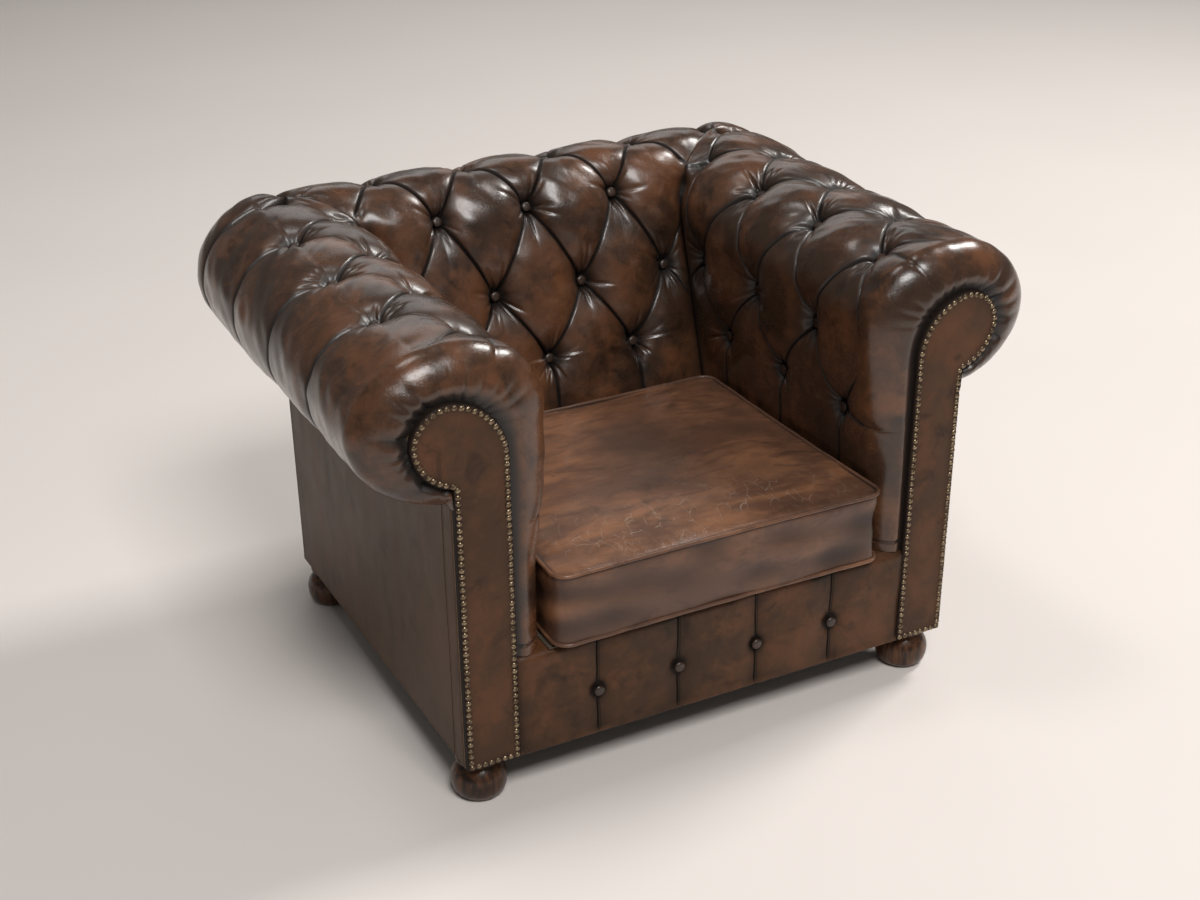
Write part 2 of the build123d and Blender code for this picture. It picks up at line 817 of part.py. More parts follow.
def cushion_ring(height, inset):
    """Outline of the cushion at a height: rounded corners, and sides drawn in between them."""
    radius = cushion_corner_radius
    half_width = cushion_half_width - piping_stand - inset - radius
    half_length = cushion_length / 2 - piping_stand - inset - radius
    middle = seat_back - cushion_length / 2
    points = []
    corners = ((1, 1), (-1, 1), (-1, -1), (1, -1), (1, 1))
    for quarter in range(4):
        across, along = corners[quarter]
        for index in range(cushion_corner_steps + 1):
            turn = pi / 2 * (quarter + index / cushion_corner_steps)
            side = across * half_width + radius * cos(turn)
            points.append(place(side, middle + along * half_length + radius * sin(turn), height))
        outward = Vector(cos(pi / 2 * (quarter + 1)), sin(pi / 2 * (quarter + 1)), 0)
        next_across, next_along = corners[quarter + 1]
        corner = place(next_across * half_width, middle + next_along * half_length, height)
        start = points[-1]
        end = corner + outward * radius
        for share in cushion_draw_shares:
            drawn = cushion_side_draw * 4 * share * (1 - share)
            points.append(start * (1 - share) + end * share - outward * drawn)
    return points


def cushion_form(inset):
    """Crowned pad: the boxed edge between the two seams, and the crown that rises over it."""
    bottom = cushion_bottom + inset
    edge_height = cushion_edge_height - inset
    rings = []
    for rise_share, inset_share in cushion_bottom_shares:
        draw = inset + inset_share * cushion_half_width
        rings.append(cushion_ring(bottom + edge_height * rise_share, draw))
    for rise_share, inset_share in cushion_crown_shares:
        draw = inset + inset_share * cushion_half_width
        rise = (cushion_crown - inset) * rise_share
        rings.append(cushion_ring(cushion_edge_top + rise, draw))
    return stacked(rings)


def piping(height):
    """Piping along a seam of the cushion, six-sided in section."""
    reach = piping_radius * cos(pi / 6)
    middle = reach - piping_stand
    low = (height - piping_radius, height - piping_radius / 2)
    high = (height + piping_radius / 2, height + piping_radius)
    forms = []
    for sign in (-1, 1):
        insets = (middle, middle + sign * reach, middle + sign * reach, middle)
        rings = [cushion_ring(level, inset) for level, inset in zip(low + high, insets)]
        forms.append(stacked(rings))
    outer, inner = forms
    return outer - inner


def cushion():
    """Leather cover, the filling inside it, and the piping along its two seams."""
    top_piping = piping(cushion_edge_top)
    bottom_piping = piping(cushion_bottom + piping_radius)
    cover = cushion_form(0) - cushion_form(cushion_cover_thickness)
    cover = cover - top_piping - bottom_piping
    filling = cushion_form(cushion_cover_thickness + soft_gap) - top_piping - bottom_piping
    return cover, filling, top_piping, bottom_piping


def main():
    """Build every piece and write each to its own file."""
    os.makedirs("parts", exist_ok=True)
    nodes = {}
    single, paired = timber()
    buns, bolts, holes, dust_cover = feet()
    facing, board, nails = scroll_pieces()
    arm, back, arm_buttons, back_buttons = upholstery()
    side_panel, back_panel = panels()
    border, border_buttons = front_border()
    across, along = webbing()
    cover, filling, top_piping, bottom_piping = cushion()
    for name in ("front_post", "rear_post"):
        for hole in holes:
            paired[name] -= hole
    paired["scroll_board"] = board
    paired["arm_facing"] = facing
    paired["nail_row"] = nails
    paired["arm_upholstery"] = arm
    paired["arm_buttons"] = arm_buttons
    paired["outside_arm_panel"] = side_panel
    for name, shape in paired.items():
        for hand, piece in both_sides(shape).items():
            nodes[f"{hand}_{name}"] = piece
    nodes.update(single)
    nodes.update(buns)
    nodes["foot_bolts"] = bolts
    nodes["dust_cover"] = dust_cover
    nodes["corner_blocks"] = corner_blocks()
    nodes["webbing_across"] = across
    nodes["webbing_along"] = along
    nodes["back_upholstery"] = back
    nodes["back_buttons"] = back_buttons
    nodes["outside_back_panel"] = back_panel
    nodes["front_border"] = border
    nodes["border_buttons"] = border_buttons
    nodes["cushion_cover"] = cover
    nodes["cushion_filling"] = filling
    nodes["cushion_top_piping"] = top_piping
    nodes["cushion_bottom_piping"] = bottom_piping
    for name, shape in nodes.items():
        export_step(shape, f"parts/{name}.step")


if __name__ == "__main__":
    main()
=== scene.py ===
"""Looks of a deep-buttoned club armchair: leather, brass nails, turned feet, studio and camera.

Lengths in the dataclasses are millimetres. "depth" is measured back from the front of the arm
facings, "side" from the middle plane, "height" from the floor; meshes are made in metres.
"""

import logging
import math
from dataclasses import dataclass, field
from enum import Enum
from typing import Callable, Sequence

import bmesh
import bpy
import numpy as np
from mathutils import Matrix, Vector


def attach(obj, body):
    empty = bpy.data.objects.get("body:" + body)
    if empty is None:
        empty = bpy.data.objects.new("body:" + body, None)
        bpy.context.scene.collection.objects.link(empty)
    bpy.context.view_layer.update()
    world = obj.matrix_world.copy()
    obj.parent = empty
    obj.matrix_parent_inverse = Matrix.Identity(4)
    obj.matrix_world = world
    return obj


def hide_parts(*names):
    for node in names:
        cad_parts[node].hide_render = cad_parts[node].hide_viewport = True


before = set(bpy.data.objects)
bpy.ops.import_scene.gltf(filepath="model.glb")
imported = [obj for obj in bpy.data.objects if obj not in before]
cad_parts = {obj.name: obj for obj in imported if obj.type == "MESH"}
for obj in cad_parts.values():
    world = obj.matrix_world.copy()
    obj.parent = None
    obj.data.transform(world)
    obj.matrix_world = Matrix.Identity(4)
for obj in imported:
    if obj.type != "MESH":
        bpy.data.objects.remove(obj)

LOG = logging.getLogger("armchair")

# Places that several pieces share, in millimetres
MIDDLE_DEPTH = 433.5
BASE_SIDE = 437.0
BASE_REAR = 751.0
BASE_BOTTOM = 76.0
FACING_SIDE = 349.0
PANEL_TOP = 586.0
PANEL_CLEARANCE = 0.3
ROLL_SIDE = 417.0
ROLL_DEPTH = 731.0
CUSHION_SEAM = 268.0
FEET_SIDE = 399.0
FEET_DEPTHS = {"front": 51.0, "rear": 716.0}

TAU = 2 * math.pi
# The waves' phases are drawn from a turn rounded to two places
WHOLE_TURN = 6.28

# Foot and outward direction of a button, each as side, depth and height
Seat = tuple[np.ndarray, np.ndarray]


class Body(Enum):
    """Bodies of the frame that a piece can ride on."""

    CHAIR = "chair"
    CUSHION = "cushion"


class Hand(Enum):
    """Side of the chair as seen from the front, with its sign along X."""

    LEFT = -1
    RIGHT = 1

    @property
    def word(self) -> str:
        """Name used at the start of a piece's name."""
        return self.name.lower()


def to_row(points: np.ndarray) -> np.ndarray:
    """Turns side, depth and height in millimetres into the frame's metres.

    Args:
        points: array whose last axis holds side, depth and height.

    Returns:
        Array of the same shape in metres, with Y along the depth.
    """
    moved = np.array(points, float)
    moved[..., 1] -= MIDDLE_DEPTH
    return moved / 1000.0


def from_row(point: Vector) -> tuple[float, float, float]:
    """Distance from the middle plane, depth and height in millimetres of a point in metres."""
    return abs(point.x) * 1000, point.y * 1000 + MIDDLE_DEPTH, point.z * 1000


def run_along(line: np.ndarray) -> np.ndarray:
    """Distance run along a line at each of its points."""
    return np.concatenate([[0], np.cumsum(np.linalg.norm(np.diff(line, axis=0), axis=1))])


def smooth(value: np.ndarray, low: float, high: float) -> np.ndarray:
    """Smooth step from 0 at low to 1 at high."""
    share = np.clip((np.asarray(value, float) - low) / (high - low), 0, 1)
    return share * share * (3 - 2 * share)


def bell(value: np.ndarray, width: float | np.ndarray, power: float = 2) -> np.ndarray:
    """Bell that falls from 1 at 0 to 1/e at the width, the more steeply the higher the power."""
    return np.exp(-((value / width) ** power))


def ripple(values: np.ndarray, seed: int, waves: int, low: float, high: float) -> np.ndarray:
    """Sum of sines with settled random phases, about -1 to 1.

    Args:
        values: positions along the ripple.
        seed: number that settles the phases.
        waves: how many sines are added.
        low: lowest wave number.
        high: highest wave number.

    Returns:
        Ripple at each position.
    """
    rng = np.random.default_rng(seed)
    total = np.zeros_like(values)
    for _ in range(waves):
        total += np.sin(values * rng.uniform(low, high) + rng.uniform(0, WHOLE_TURN))
    return total / math.sqrt(waves)


def field_noise(points: np.ndarray, seed: int, length: float, waves: int = 9) -> np.ndarray:
    """Soft settled noise in space, about -1 to 1, with features of a given length.

    Args:
        points: positions in millimetres, last axis of three.
        seed: number that settles the noise.
        length: size of the features in millimetres.
        waves: how many plane waves are added.

    Returns:
        Noise at each position.
    """
    rng = np.random.default_rng(seed)
    total = np.zeros(points.shape[:-1])
    for _ in range(waves):
        way = rng.normal(size=3)
        way *= rng.uniform(0.6, 1.5) * TAU / length / np.linalg.norm(way)
        total += np.sin(points @ way + rng.uniform(0, WHOLE_TURN))
    return total / math.sqrt(waves / 1.5)


def new_object(name: str, vertices: np.ndarray, faces: Sequence[Sequence[int]]) -> bpy.types.Object:
    """Makes a mesh object from points in metres and faces."""
    mesh = bpy.data.meshes.new(name)
    mesh.from_pydata([tuple(v) for v in vertices], [], [tuple(f) for f in faces])
    mesh.update()
    piece = bpy.data.objects.new(name, mesh)
    bpy.context.scene.collection.objects.link(piece)
    return piece


def vertices_of(piece: bpy.types.Object) -> np.ndarray:
    """Places of a mesh's vertices, in metres."""
    return np.array([v.co for v in piece.data.vertices])


def set_attribute(piece: bpy.types.Object, name: str, values: np.ndarray) -> None:
    """Stores one number per vertex on a mesh."""
    attribute = piece.data.attributes.new(name, "FLOAT", "POINT")
    attribute.data.foreach_set("value", np.asarray(values, np.float32).ravel())


def grid_faces(rows: int, columns: int, wrap: bool = False) -> np.ndarray:
    """Quads of a grid whose vertices run along the rows first.

    Args:
        rows: number of vertex rows.
        columns: number of vertices in a row.
        wrap: whether the last row joins the first.

    Returns:
        Array of vertex numbers, four to a face.
    """
    count = rows if wrap else rows - 1
    low = np.arange(count)[:, None] * columns + np.arange(columns - 1)[None, :]
    high = (np.arange(count)[:, None] + 1) % rows * columns + np.arange(columns - 1)[None, :]
    return np.stack([low, low + 1, high + 1, high], -1).reshape(-1, 4)


def slab_faces(rows: int, columns: int) -> list[list[int]]:
    """Faces of a slab: a grid, its copy that follows behind, and the wall round both."""
    count = rows * columns
    face = grid_faces(rows, columns)
    ring = [i * columns for i in range(rows)] + [(rows - 1) * columns + j for j in range(1, columns)]
    ring += [i * columns + columns - 1 for i in range(rows - 2, -1, -1)]
    ring += list(range(columns - 2, 0, -1))
    wall = [[a, b, b + count, a + count] for a, b in zip(ring, ring[1:] + ring[:1])]
    return face.tolist() + (face[:, ::-1] + count).tolist() + wall


def seam_faces(row: np.ndarray, station: np.ndarray) -> np.ndarray:
    """Triangles of a grid, with each quad split along the nearer of its two diagonal seams.

    Args:
        row: buttoning row of each vertex.
        station: place along the roll of each vertex.

    Returns:
        Array of vertex numbers, three to a face.
    """
    rows, columns = row.shape
    quads = grid_faces(rows, columns)
    flat_row, flat_station = row.ravel()[quads].mean(1), station.ravel()[quads].mean(1)
    first = np.mod((flat_row + flat_station) / 2 + 0.5, 1) - 0.5
    second = np.mod((flat_row - flat_station) / 2 + 0.5, 1) - 0.5
    rising = np.abs(first) < np.abs(second)
    a, b, c, d = quads.T
    one = np.where(rising[:, None], np.stack([a, b, d], 1), np.stack([a, b, c], 1))
    two = np.where(rising[:, None], np.stack([b, c, d], 1), np.stack([a, c, d], 1))
    return np.concatenate([one, two])


def alone(piece: bpy.types.Object) -> None:
    """Selects one object and makes it active."""
    bpy.ops.object.select_all(action="DESELECT")
    piece.select_set(True)
    bpy.context.view_layer.objects.active = piece


def settle_normals(piece: bpy.types.Object, angle: float = 180.0) -> None:
    """Points the faces outwards and shades the piece smooth up to an angle."""
    alone(piece)
    bpy.ops.object.mode_set(mode="EDIT")
    bpy.ops.mesh.select_all(action="SELECT")
    bpy.ops.mesh.normals_make_consistent(inside=False)
    bpy.ops.object.mode_set(mode="OBJECT")
    bpy.ops.object.shade_smooth_by_angle(angle=math.radians(angle))


def dress(piece: bpy.types.Object, finish: "Finish", body: Body, slot: str, *nodes: str) -> None:
    """Gives a piece its material and its body, and hides the CAD nodes it stands for."""
    piece.data.materials.clear()
    piece.data.materials.append(finish.material())
    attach(piece, body.value)
    if nodes:
        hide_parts(*nodes)
    LOG.info("%s: %d faces, rides on %s", piece.name, len(piece.data.polygons), body.value)


class Wire:
    """Output of a shader node, on which sums are written as Python expressions."""

    def __init__(self, graph: "Graph", socket: bpy.types.NodeSocket) -> None:
        """Keeps the graph and the socket."""
        self.graph = graph
        self.socket = socket

    def math(self, operation: str, *others: "Wire | float") -> "Wire":
        """Runs a Math node on this value and others."""
        inputs = {index: value for index, value in enumerate((self, *others))}
        return self.graph.node("ShaderNodeMath", {"operation": operation}, inputs)

    def __add__(self, other: "Wire | float") -> "Wire":
        """Sum."""
        return self.math("ADD", other)

    def __mul__(self, other: "Wire | float") -> "Wire":
        """Product."""
        return self.math("MULTIPLY", other)

    def __sub__(self, other: "Wire | float") -> "Wire":
        """Difference."""
        return self.math("SUBTRACT", other)

    def __rsub__(self, other: float) -> "Wire":
        """Difference from a number."""
        return self.graph.node("ShaderNodeMath", {"operation": "SUBTRACT"}, {0: other, 1: self})

    def between(self, low: float, high: float) -> "Wire":
        """Smooth step from 0 at low to 1 at high."""
        settings = {"interpolation_type": "SMOOTHSTEP"}
        return self.graph.node("ShaderNodeMapRange", settings, {0: self, 1: low, 2: high})


class Graph:
    """Node tree of one material, with its Principled shader."""

    def __init__(self, name: str) -> None:
        """Makes an empty material with a shader and an output."""
        self.material = bpy.data.materials.new(name)
        self.material.use_nodes = True
        self.tree = self.material.node_tree
        self.tree.nodes.clear()
        self.shader = self.tree.nodes.new("ShaderNodeBsdfPrincipled")
        output = self.tree.nodes.new("ShaderNodeOutputMaterial")
        self.tree.links.new(self.shader.outputs[0], output.inputs[0])

    def put(self, socket: bpy.types.NodeSocket, value: "Wire | float | Sequence[float]") -> None:
        """Sets a socket, or links it."""
        if isinstance(value, Wire):
            self.tree.links.new(value.socket, socket)
        elif socket.type == "RGBA":
            socket.default_value = (*value, 1)
        else:
            socket.default_value = value

    def node(self, kind: str, settings: dict | None = None, inputs: dict | None = None,
             output: int | str = 0) -> Wire:
        """Adds a node, with its settings first and then its sockets.

        Args:
            kind: Blender's name of the node.
            settings: attributes of the node.
            inputs: value or link of each named or numbered socket.
            output: which output is returned.

        Returns:
            The chosen output.
        """
        made = self.tree.nodes.new(kind)
        for name, value in (settings or {}).items():
            setattr(made, name, value)
        for key, value in (inputs or {}).items():
            self.put(made.inputs[key], value)
        return Wire(self, made.outputs[output])

    def mix(self, share: "Wire | float", first: "Wire | tuple", second: "Wire | tuple") -> Wire:
        """Mixes two colours."""
        return self.node("ShaderNodeMix", {"data_type": "RGBA"}, {0: share, 6: first, 7: second}, 2)

    def place(self) -> Wire:
        """Object coordinates."""
        return self.node("ShaderNodeTexCoord", None, None, "Object")

    def stretched(self, place: Wire, scale: tuple[float, float, float]) -> Wire:
        """Coordinates scaled along each axis."""
        return self.node("ShaderNodeMapping", None, {"Vector": place, "Scale": scale})

    def noise(self, place: Wire, scale: float, detail: float = 3.0, twist: float = 0.0,
              rough: float = 0.5) -> Wire:
        """Soft noise from 0 to 1."""
        inputs = {"Vector": place, "Scale": scale, "Detail": detail, "Distortion": twist,
                  "Roughness": rough}
        return self.node("ShaderNodeTexNoise", None, inputs)

    def cells(self, place: Wire, scale: float, feature: str = "F1") -> Wire:
        """Distance in a field of cells."""
        return self.node("ShaderNodeTexVoronoi", {"feature": feature},
                         {"Vector": place, "Scale": scale}, "Distance")

    def bent(self, place: Wire, scale: float, amount: float) -> Wire:
        """Coordinates pushed about by a soft noise, so that cells lose their straight sides."""
        inputs = {"Vector": place, "Scale": scale, "Detail": 3.0}
        push = self.node("ShaderNodeTexNoise", None, inputs, "Color")
        return self.node("ShaderNodeVectorMath", {"operation": "MULTIPLY_ADD"},
                         {0: push, 1: (amount,) * 3, 2: place})

    def attribute(self, name: str) -> Wire:
        """Number stored on the mesh."""
        return self.node("ShaderNodeAttribute", {"attribute_name": name}, None, "Fac")

    def bump(self, height: Wire, distance: float, strength: float = 1.0,
             under: Wire | None = None) -> Wire:
        """Normal bent by a height, over another bump where one is given."""
        inputs: dict = {"Height": height, "Distance": distance, "Strength": strength}
        if under is not None:
            inputs["Normal"] = under
        return self.node("ShaderNodeBump", None, inputs)

    def finish(self, **sockets: "Wire | float | tuple") -> bpy.types.Material:
        """Sets the shader's sockets by name, with underscores for spaces."""
        for name, value in sockets.items():
            self.put(self.shader.inputs[name.replace("_", " ")], value)
        return self.material


@dataclass(frozen=True)
class Finish:
    """A material of the chair, made once and shared by its pieces."""

    name: str

    def material(self) -> bpy.types.Material:
        """The material, from memory or newly built."""
        known = bpy.data.materials.get(self.name)
        return known or self.build(Graph(self.name))

    def build(self, graph: Graph) -> bpy.types.Material:
        """Builds the nodes; each finish has its own."""
        raise NotImplementedError


@dataclass(frozen=True)
class Leather(Finish):
    """Antiqued leather: painted shade near-black in the folds, rubbed red-brown on the crowns."""

    # deep: colour of the painted shade in folds, seams and recesses, and of random darker patches
    deep: tuple[float, float, float] = (0.006, 0.0035, 0.0025)
    ground: tuple[float, float, float] = (0.040, 0.020, 0.0115)
    rubbed: tuple[float, float, float] = (0.140, 0.055, 0.023)
    rub: float = 0.85
    gloss: float = 0.25
    crackle: float = 0.28
    coat: float = 0.25
    shine: float = 0.5
    stretch: tuple[float, float, float] = (1.0, 1.0, 1.0)
    scuffs: float = 0.12
    scuffed: tuple[float, float, float] = (0.33, 0.24, 0.18)
    cloud: float = 8.5
    crack_cells: float = 52.0
    crack_stretch: tuple[float, float, float] = (1.0, 0.45, 0.7)
    grain_cells: float = 640.0

    def build(self, graph: Graph) -> bpy.types.Material:
        """Builds patches of wear, painted shade in the folds, grain, crackle and pale scuffs."""
        place = graph.place()
        # Painted shade stored on each mesh: how far folds, seams, wells and recesses go towards the
        # deep colour
        painted_shade = graph.attribute("painted_shade")
        drawn = graph.stretched(place, self.stretch)
        clouds = graph.noise(drawn, self.cloud, 3.0, 0.9)
        mottle = graph.noise(drawn, 34.0, 6.0, 0.8, 0.66)
        rubs = (clouds * 0.65 + mottle * 0.35).between(0.40, 0.66) * self.rub
        colour = graph.mix(rubs * (1 - painted_shade), self.ground, self.rubbed)
        shade = graph.noise(drawn, 15.0, 5.0, 1.2, 0.6).between(0.50, 0.74) * 0.6
        colour = graph.mix(shade, colour, self.deep)
        bent = graph.stretched(graph.bent(place, 26.0, 0.025), self.crack_stretch)
        crack = graph.cells(bent, self.crack_cells, "DISTANCE_TO_EDGE")
        broken = graph.noise(place, 45.0, 3.0).between(0.44, 0.58)
        worn = graph.attribute("worn") * graph.noise(place, 9.0, 2.0).between(0.30, 0.56)
        cracks = (1 - crack.between(0.0, 0.04)) * worn * broken
        colour = graph.mix(cracks * self.scuffs, colour, self.scuffed)
        # Painted shade: folds, seams and recesses darkened towards the deep colour
        colour = graph.mix(painted_shade.between(0.10, 0.90), colour, self.deep)
        grain = graph.cells(place, self.grain_cells)
        soft = graph.noise(place, 150.0, 6.0, 1.6, 0.62)
        bump = graph.bump(soft, 0.0008, 0.45)
        bump = graph.bump(1 - cracks, 0.0004, self.crackle, bump)
        bump = graph.bump(grain, 0.0003, 0.3, bump)
        rough = (mottle - 0.5) * 0.22 + worn * 0.05 + painted_shade * 0.35 + self.gloss
        return graph.finish(
            Base_Color=colour, Roughness=rough, Normal=bump, Coat_Weight=self.coat,
            Coat_Roughness=0.15, Specular_IOR_Level=self.shine,
        )


@dataclass(frozen=True)
class Wood(Finish):
    """Turned or planed wood with a lengthwise grain."""

    dark: tuple[float, float, float] = (0.020, 0.010, 0.006)
    light: tuple[float, float, float] = (0.105, 0.042, 0.017)
    gloss: float = 0.28
    coat: float = 0.2

    def build(self, graph: Graph) -> bpy.types.Material:
        """Builds streaks along the height and fine pores."""
        place = graph.place()
        long = graph.stretched(place, (1.0, 1.0, 0.16))
        streaks = graph.noise(long, 60.0, 5.0, 1.4)
        pores = graph.noise(graph.stretched(place, (1.0, 1.0, 0.06)), 480.0, 2.0)
        colour = graph.mix(streaks.between(0.36, 0.66), self.dark, self.light)
        colour = graph.mix(pores.between(0.58, 0.72) * 0.5, colour, self.dark)
        return graph.finish(
            Base_Color=colour, Roughness=streaks * 0.12 + self.gloss, Coat_Weight=self.coat,
            Coat_Roughness=0.12, Specular_IOR_Level=0.3, Normal=graph.bump(pores, 0.0003, 0.3),
        )


@dataclass(frozen=True)
class Brass(Finish):
    """Antiqued brass: bright on the domes, brown in the low places."""

    bright: tuple[float, float, float] = (0.30, 0.23, 0.15)
    brown: tuple[float, float, float] = (0.05, 0.032, 0.02)

    def build(self, graph: Graph) -> bpy.types.Material:
        """Builds tarnish in patches."""
        place = graph.place()
        tarnish = graph.noise(place, 160.0, 4.0).between(0.38, 0.68)
        colour = graph.mix(tarnish * 0.8, self.bright, self.brown)
        return graph.finish(
            Base_Color=colour, Metallic=1.0, Roughness=tarnish * 0.25 + 0.28,
            Normal=graph.bump(graph.noise(place, 700.0, 2.0), 0.0002, 0.3),
        )


@dataclass(frozen=True)
class Cloth(Finish):
    """Plain woven cloth."""

    thread: tuple[float, float, float] = (0.03, 0.028, 0.026)
    gap: tuple[float, float, float] = (0.012, 0.011, 0.01)
    pitch: float = 900.0

    def build(self, graph: Graph) -> bpy.types.Material:
        """Builds a weave from crossed waves."""
        place = graph.place()
        axes = graph.node("ShaderNodeSeparateXYZ", None, {0: place})
        across = (axes * self.pitch * 2).math("SINE")
        other = Wire(graph, axes.socket.node.outputs[1])
        along = (other * self.pitch * 2).math("SINE")
        weave = (across * along).between(-0.6, 0.6)
        colour = graph.mix(weave, self.gap, self.thread)
        return graph.finish(
            Base_Color=colour, Roughness=0.9, Normal=graph.bump(weave, 0.0004, 0.5)
        )


@dataclass(frozen=True)
class Steel(Finish):
    """Zinc-plated steel."""

    def build(self, graph: Graph) -> bpy.types.Material:
        """Builds a lightly clouded plating."""
        clouds = graph.noise(graph.place(), 210.0, 3.0)
        colour = graph.mix(clouds, (0.42, 0.42, 0.40), (0.62, 0.61, 0.58))
        return graph.finish(Base_Color=colour, Metallic=1.0, Roughness=clouds * 0.2 + 0.3)


@dataclass(frozen=True)
class Ground(Finish):
    """Plain pale studio floor."""

    colour: tuple[float, float, float] = (0.79, 0.735, 0.70)

    def build(self, graph: Graph) -> bpy.types.Material:
        """Builds a very faint cloudiness."""
        clouds = graph.noise(graph.place(), 1.3, 2.0)
        darker = tuple(0.94 * c for c in self.colour)
        return graph.finish(Base_Color=graph.mix(clouds, darker, self.colour), Roughness=0.85)


PADDED = Leather("padded leather")
BORDER = Leather("border leather", deep=(0.010, 0.006, 0.004), ground=(0.048, 0.024, 0.012), rub=0.8,
                 gloss=0.34, crackle=0.1, coat=0.0, shine=0.2, cloud=5.0)
HESSIAN = Cloth("platform cloth", (0.10, 0.075, 0.05), (0.04, 0.03, 0.02), 900.0)
FACED = Leather("facing leather", deep=(0.012, 0.007, 0.005), ground=(0.060, 0.030, 0.016), rub=0.7,
                gloss=0.38, crackle=0.1, coat=0.0, shine=0.2, scuffs=0.0, cloud=5.0)
SEAT = Leather("seat leather", deep=(0.036, 0.019, 0.013), ground=(0.105, 0.050, 0.030),
               rubbed=(0.270, 0.120, 0.058), gloss=0.29, crackle=0.8, coat=0.1, shine=0.45,
               stretch=(0.6, 1.4, 1.0), scuffs=0.6)
PLAIN = Leather("outside leather", deep=(0.03, 0.017, 0.010), ground=(0.085, 0.048, 0.028),
                rubbed=(0.14, 0.074, 0.040), rub=0.5, gloss=0.44, crackle=0.1, coat=0.0, shine=0.15,
                scuffs=0.0, stretch=(1.0, 1.0, 0.5))
TURNED = Wood("varnished foot wood")
BEECH = Wood("frame beech", (0.30, 0.18, 0.10), (0.50, 0.34, 0.20), 0.6, 0.0)
NAIL = Brass("antiqued nail brass")
BLACK_CLOTH = Cloth("dust cover cloth")
JUTE = Cloth("webbing jute", (0.30, 0.22, 0.13), (0.10, 0.07, 0.04), 620.0)
CALICO = Cloth("calico", (0.45, 0.40, 0.32), (0.25, 0.21, 0.16), 1400.0)
PLATED = Steel("plated steel")


@dataclass(frozen=True)
class Scroll:
    """Cross-section of an arm or of the back, as in the frame's solids."""

    centre: float
    inner: float
    rise: float
    lean: float
    angles: tuple[float, ...]
    crowns: tuple[float, ...]
    seams: tuple[float, ...]
    limit: float
    outer: float = 134.0
    drop: float = 101.0
    height: float = 639.0
    puff: float = 23.0
    wall_step: float = 1.9
    foot: float = 250.3
    rounding: float = 0.25
    samples: int = 7

    def spring(self, rise: np.ndarray | float) -> np.ndarray | float:
        """Angle where the wall runs into the roll."""
        return np.degrees(np.arctan2(math.tan(math.radians(self.lean)) * rise, self.inner))

    def angle(self, row: np.ndarray) -> np.ndarray:
        """Angle round the roll at each row, carried on below the first row."""
        step = self.angles[1] - self.angles[0]
        below = np.minimum(row, 0) * step
        return np.interp(row, range(len(self.angles)), self.angles) + below

    def share(self, shares: tuple[float, ...], row: np.ndarray) -> np.ndarray:
        """Value of a list at each row, with its corners rounded."""
        spread = np.linspace(-self.rounding, self.rounding, self.samples)
        return sum(np.interp(row + s, range(len(shares)), shares) for s in spread) / self.samples

    def oval(self, row: np.ndarray, rise: np.ndarray) -> tuple[np.ndarray, ...]:
        """Turn about the roll's centre at each row, and the oval's half width and height there."""
        turn = np.radians(np.maximum(self.angle(row), self.spring(rise)))
        wide = np.where(turn <= math.pi / 2, self.inner, self.outer)
        return turn, wide, np.where(turn <= math.pi, rise, self.drop)

    def section(self, row: np.ndarray, lift: np.ndarray, rise: np.ndarray) -> tuple[np.ndarray, ...]:
        """Points of the section.

        Args:
            row: buttoning row of each point.
            lift: height above the seam line.
            rise: height of the roll above its centre.

        Returns:
            Distance outwards and height of each point, and its normal's two parts.
        """
        turn, wide, tall = self.oval(row, rise)
        normal_out = -np.cos(turn) / wide
        normal_up = np.sin(turn) / tall
        size = np.hypot(normal_out, normal_up)
        normal_out, normal_up = normal_out / size, normal_up / size
        down = np.maximum(self.spring(rise) - self.angle(row), 0) * self.wall_step
        lean = math.radians(self.lean)
        out = self.centre - wide * np.cos(turn) - down * math.sin(lean) + normal_out * lift
        up = self.height + tall * np.sin(turn) - down * math.cos(lean) + normal_up * lift
        return out, up, normal_out, normal_up

    def steepness(self, row: np.ndarray, rise: np.ndarray) -> np.ndarray:
        """Steepness of the section's oval at each row."""
        turn, wide, tall = self.oval(row, rise)
        return np.hypot(np.cos(turn) / wide, np.sin(turn) / tall)

    def first_row(self, rise: float) -> float:
        """Row at which the wall stands on the seat platform."""
        rows = np.linspace(-3, 1, 4001)
        up = self.section(rows, np.zeros_like(rows), np.full_like(rows, rise))[1]
        return float(np.interp(self.foot, up, rows))

    def last_row(self) -> float:
        """Row at which the underside of the roll meets the outside panel."""
        rows = np.linspace(5, 6, 2001)
        lifts = self.puff * self.share(self.crowns, rows)
        out = self.section(rows, lifts, np.full_like(rows, self.rise))[0]
        return float(rows[np.argmin(np.abs(out - self.limit))])

    def button(self, row: int, seam: float, rise: float, sink: float) -> tuple[float, ...]:
        """Place of a button's foot in the section, and its direction.

        Args:
            row: buttoning row of the button.
            seam: share of the puff that the seam lies below the crown.
            rise: height of the roll above its centre.
            sink: how far the foot lies below the leather.

        Returns:
            Distance outwards and height, and the direction's two parts.
        """
        crown = float(np.interp(row, range(len(self.crowns)), self.crowns))
        lift = np.array([self.puff * (crown - seam) - sink])
        return tuple(float(v[0]) for v in self.section(np.array([float(row)]), lift, np.array([rise])))


ARM = Scroll(
    centre=ROLL_SIDE, inner=119.0, rise=93.0, lean=0.0, angles=(-128, -90, -29, 60, 108, 180, 262),
    crowns=(0.0, 0.52, 1, 1, 1, 1, 1), seams=(0.1, 0.5, 1, 1, 0.75, 0.5, 0.4),
    limit=BASE_SIDE + PANEL_CLEARANCE,
)
BACK = Scroll(
    centre=ROLL_DEPTH, inner=79.0, rise=113.0, lean=16.8, angles=(-149, -107, -41, 36, 108, 180, 262),
    crowns=(0.6, 0.9, 1, 1, 1, 1, 1), seams=(0.5, 0.9, 1, 1, 0.75, 0.5, 0.4),
    limit=BASE_REAR + PANEL_CLEARANCE,
)


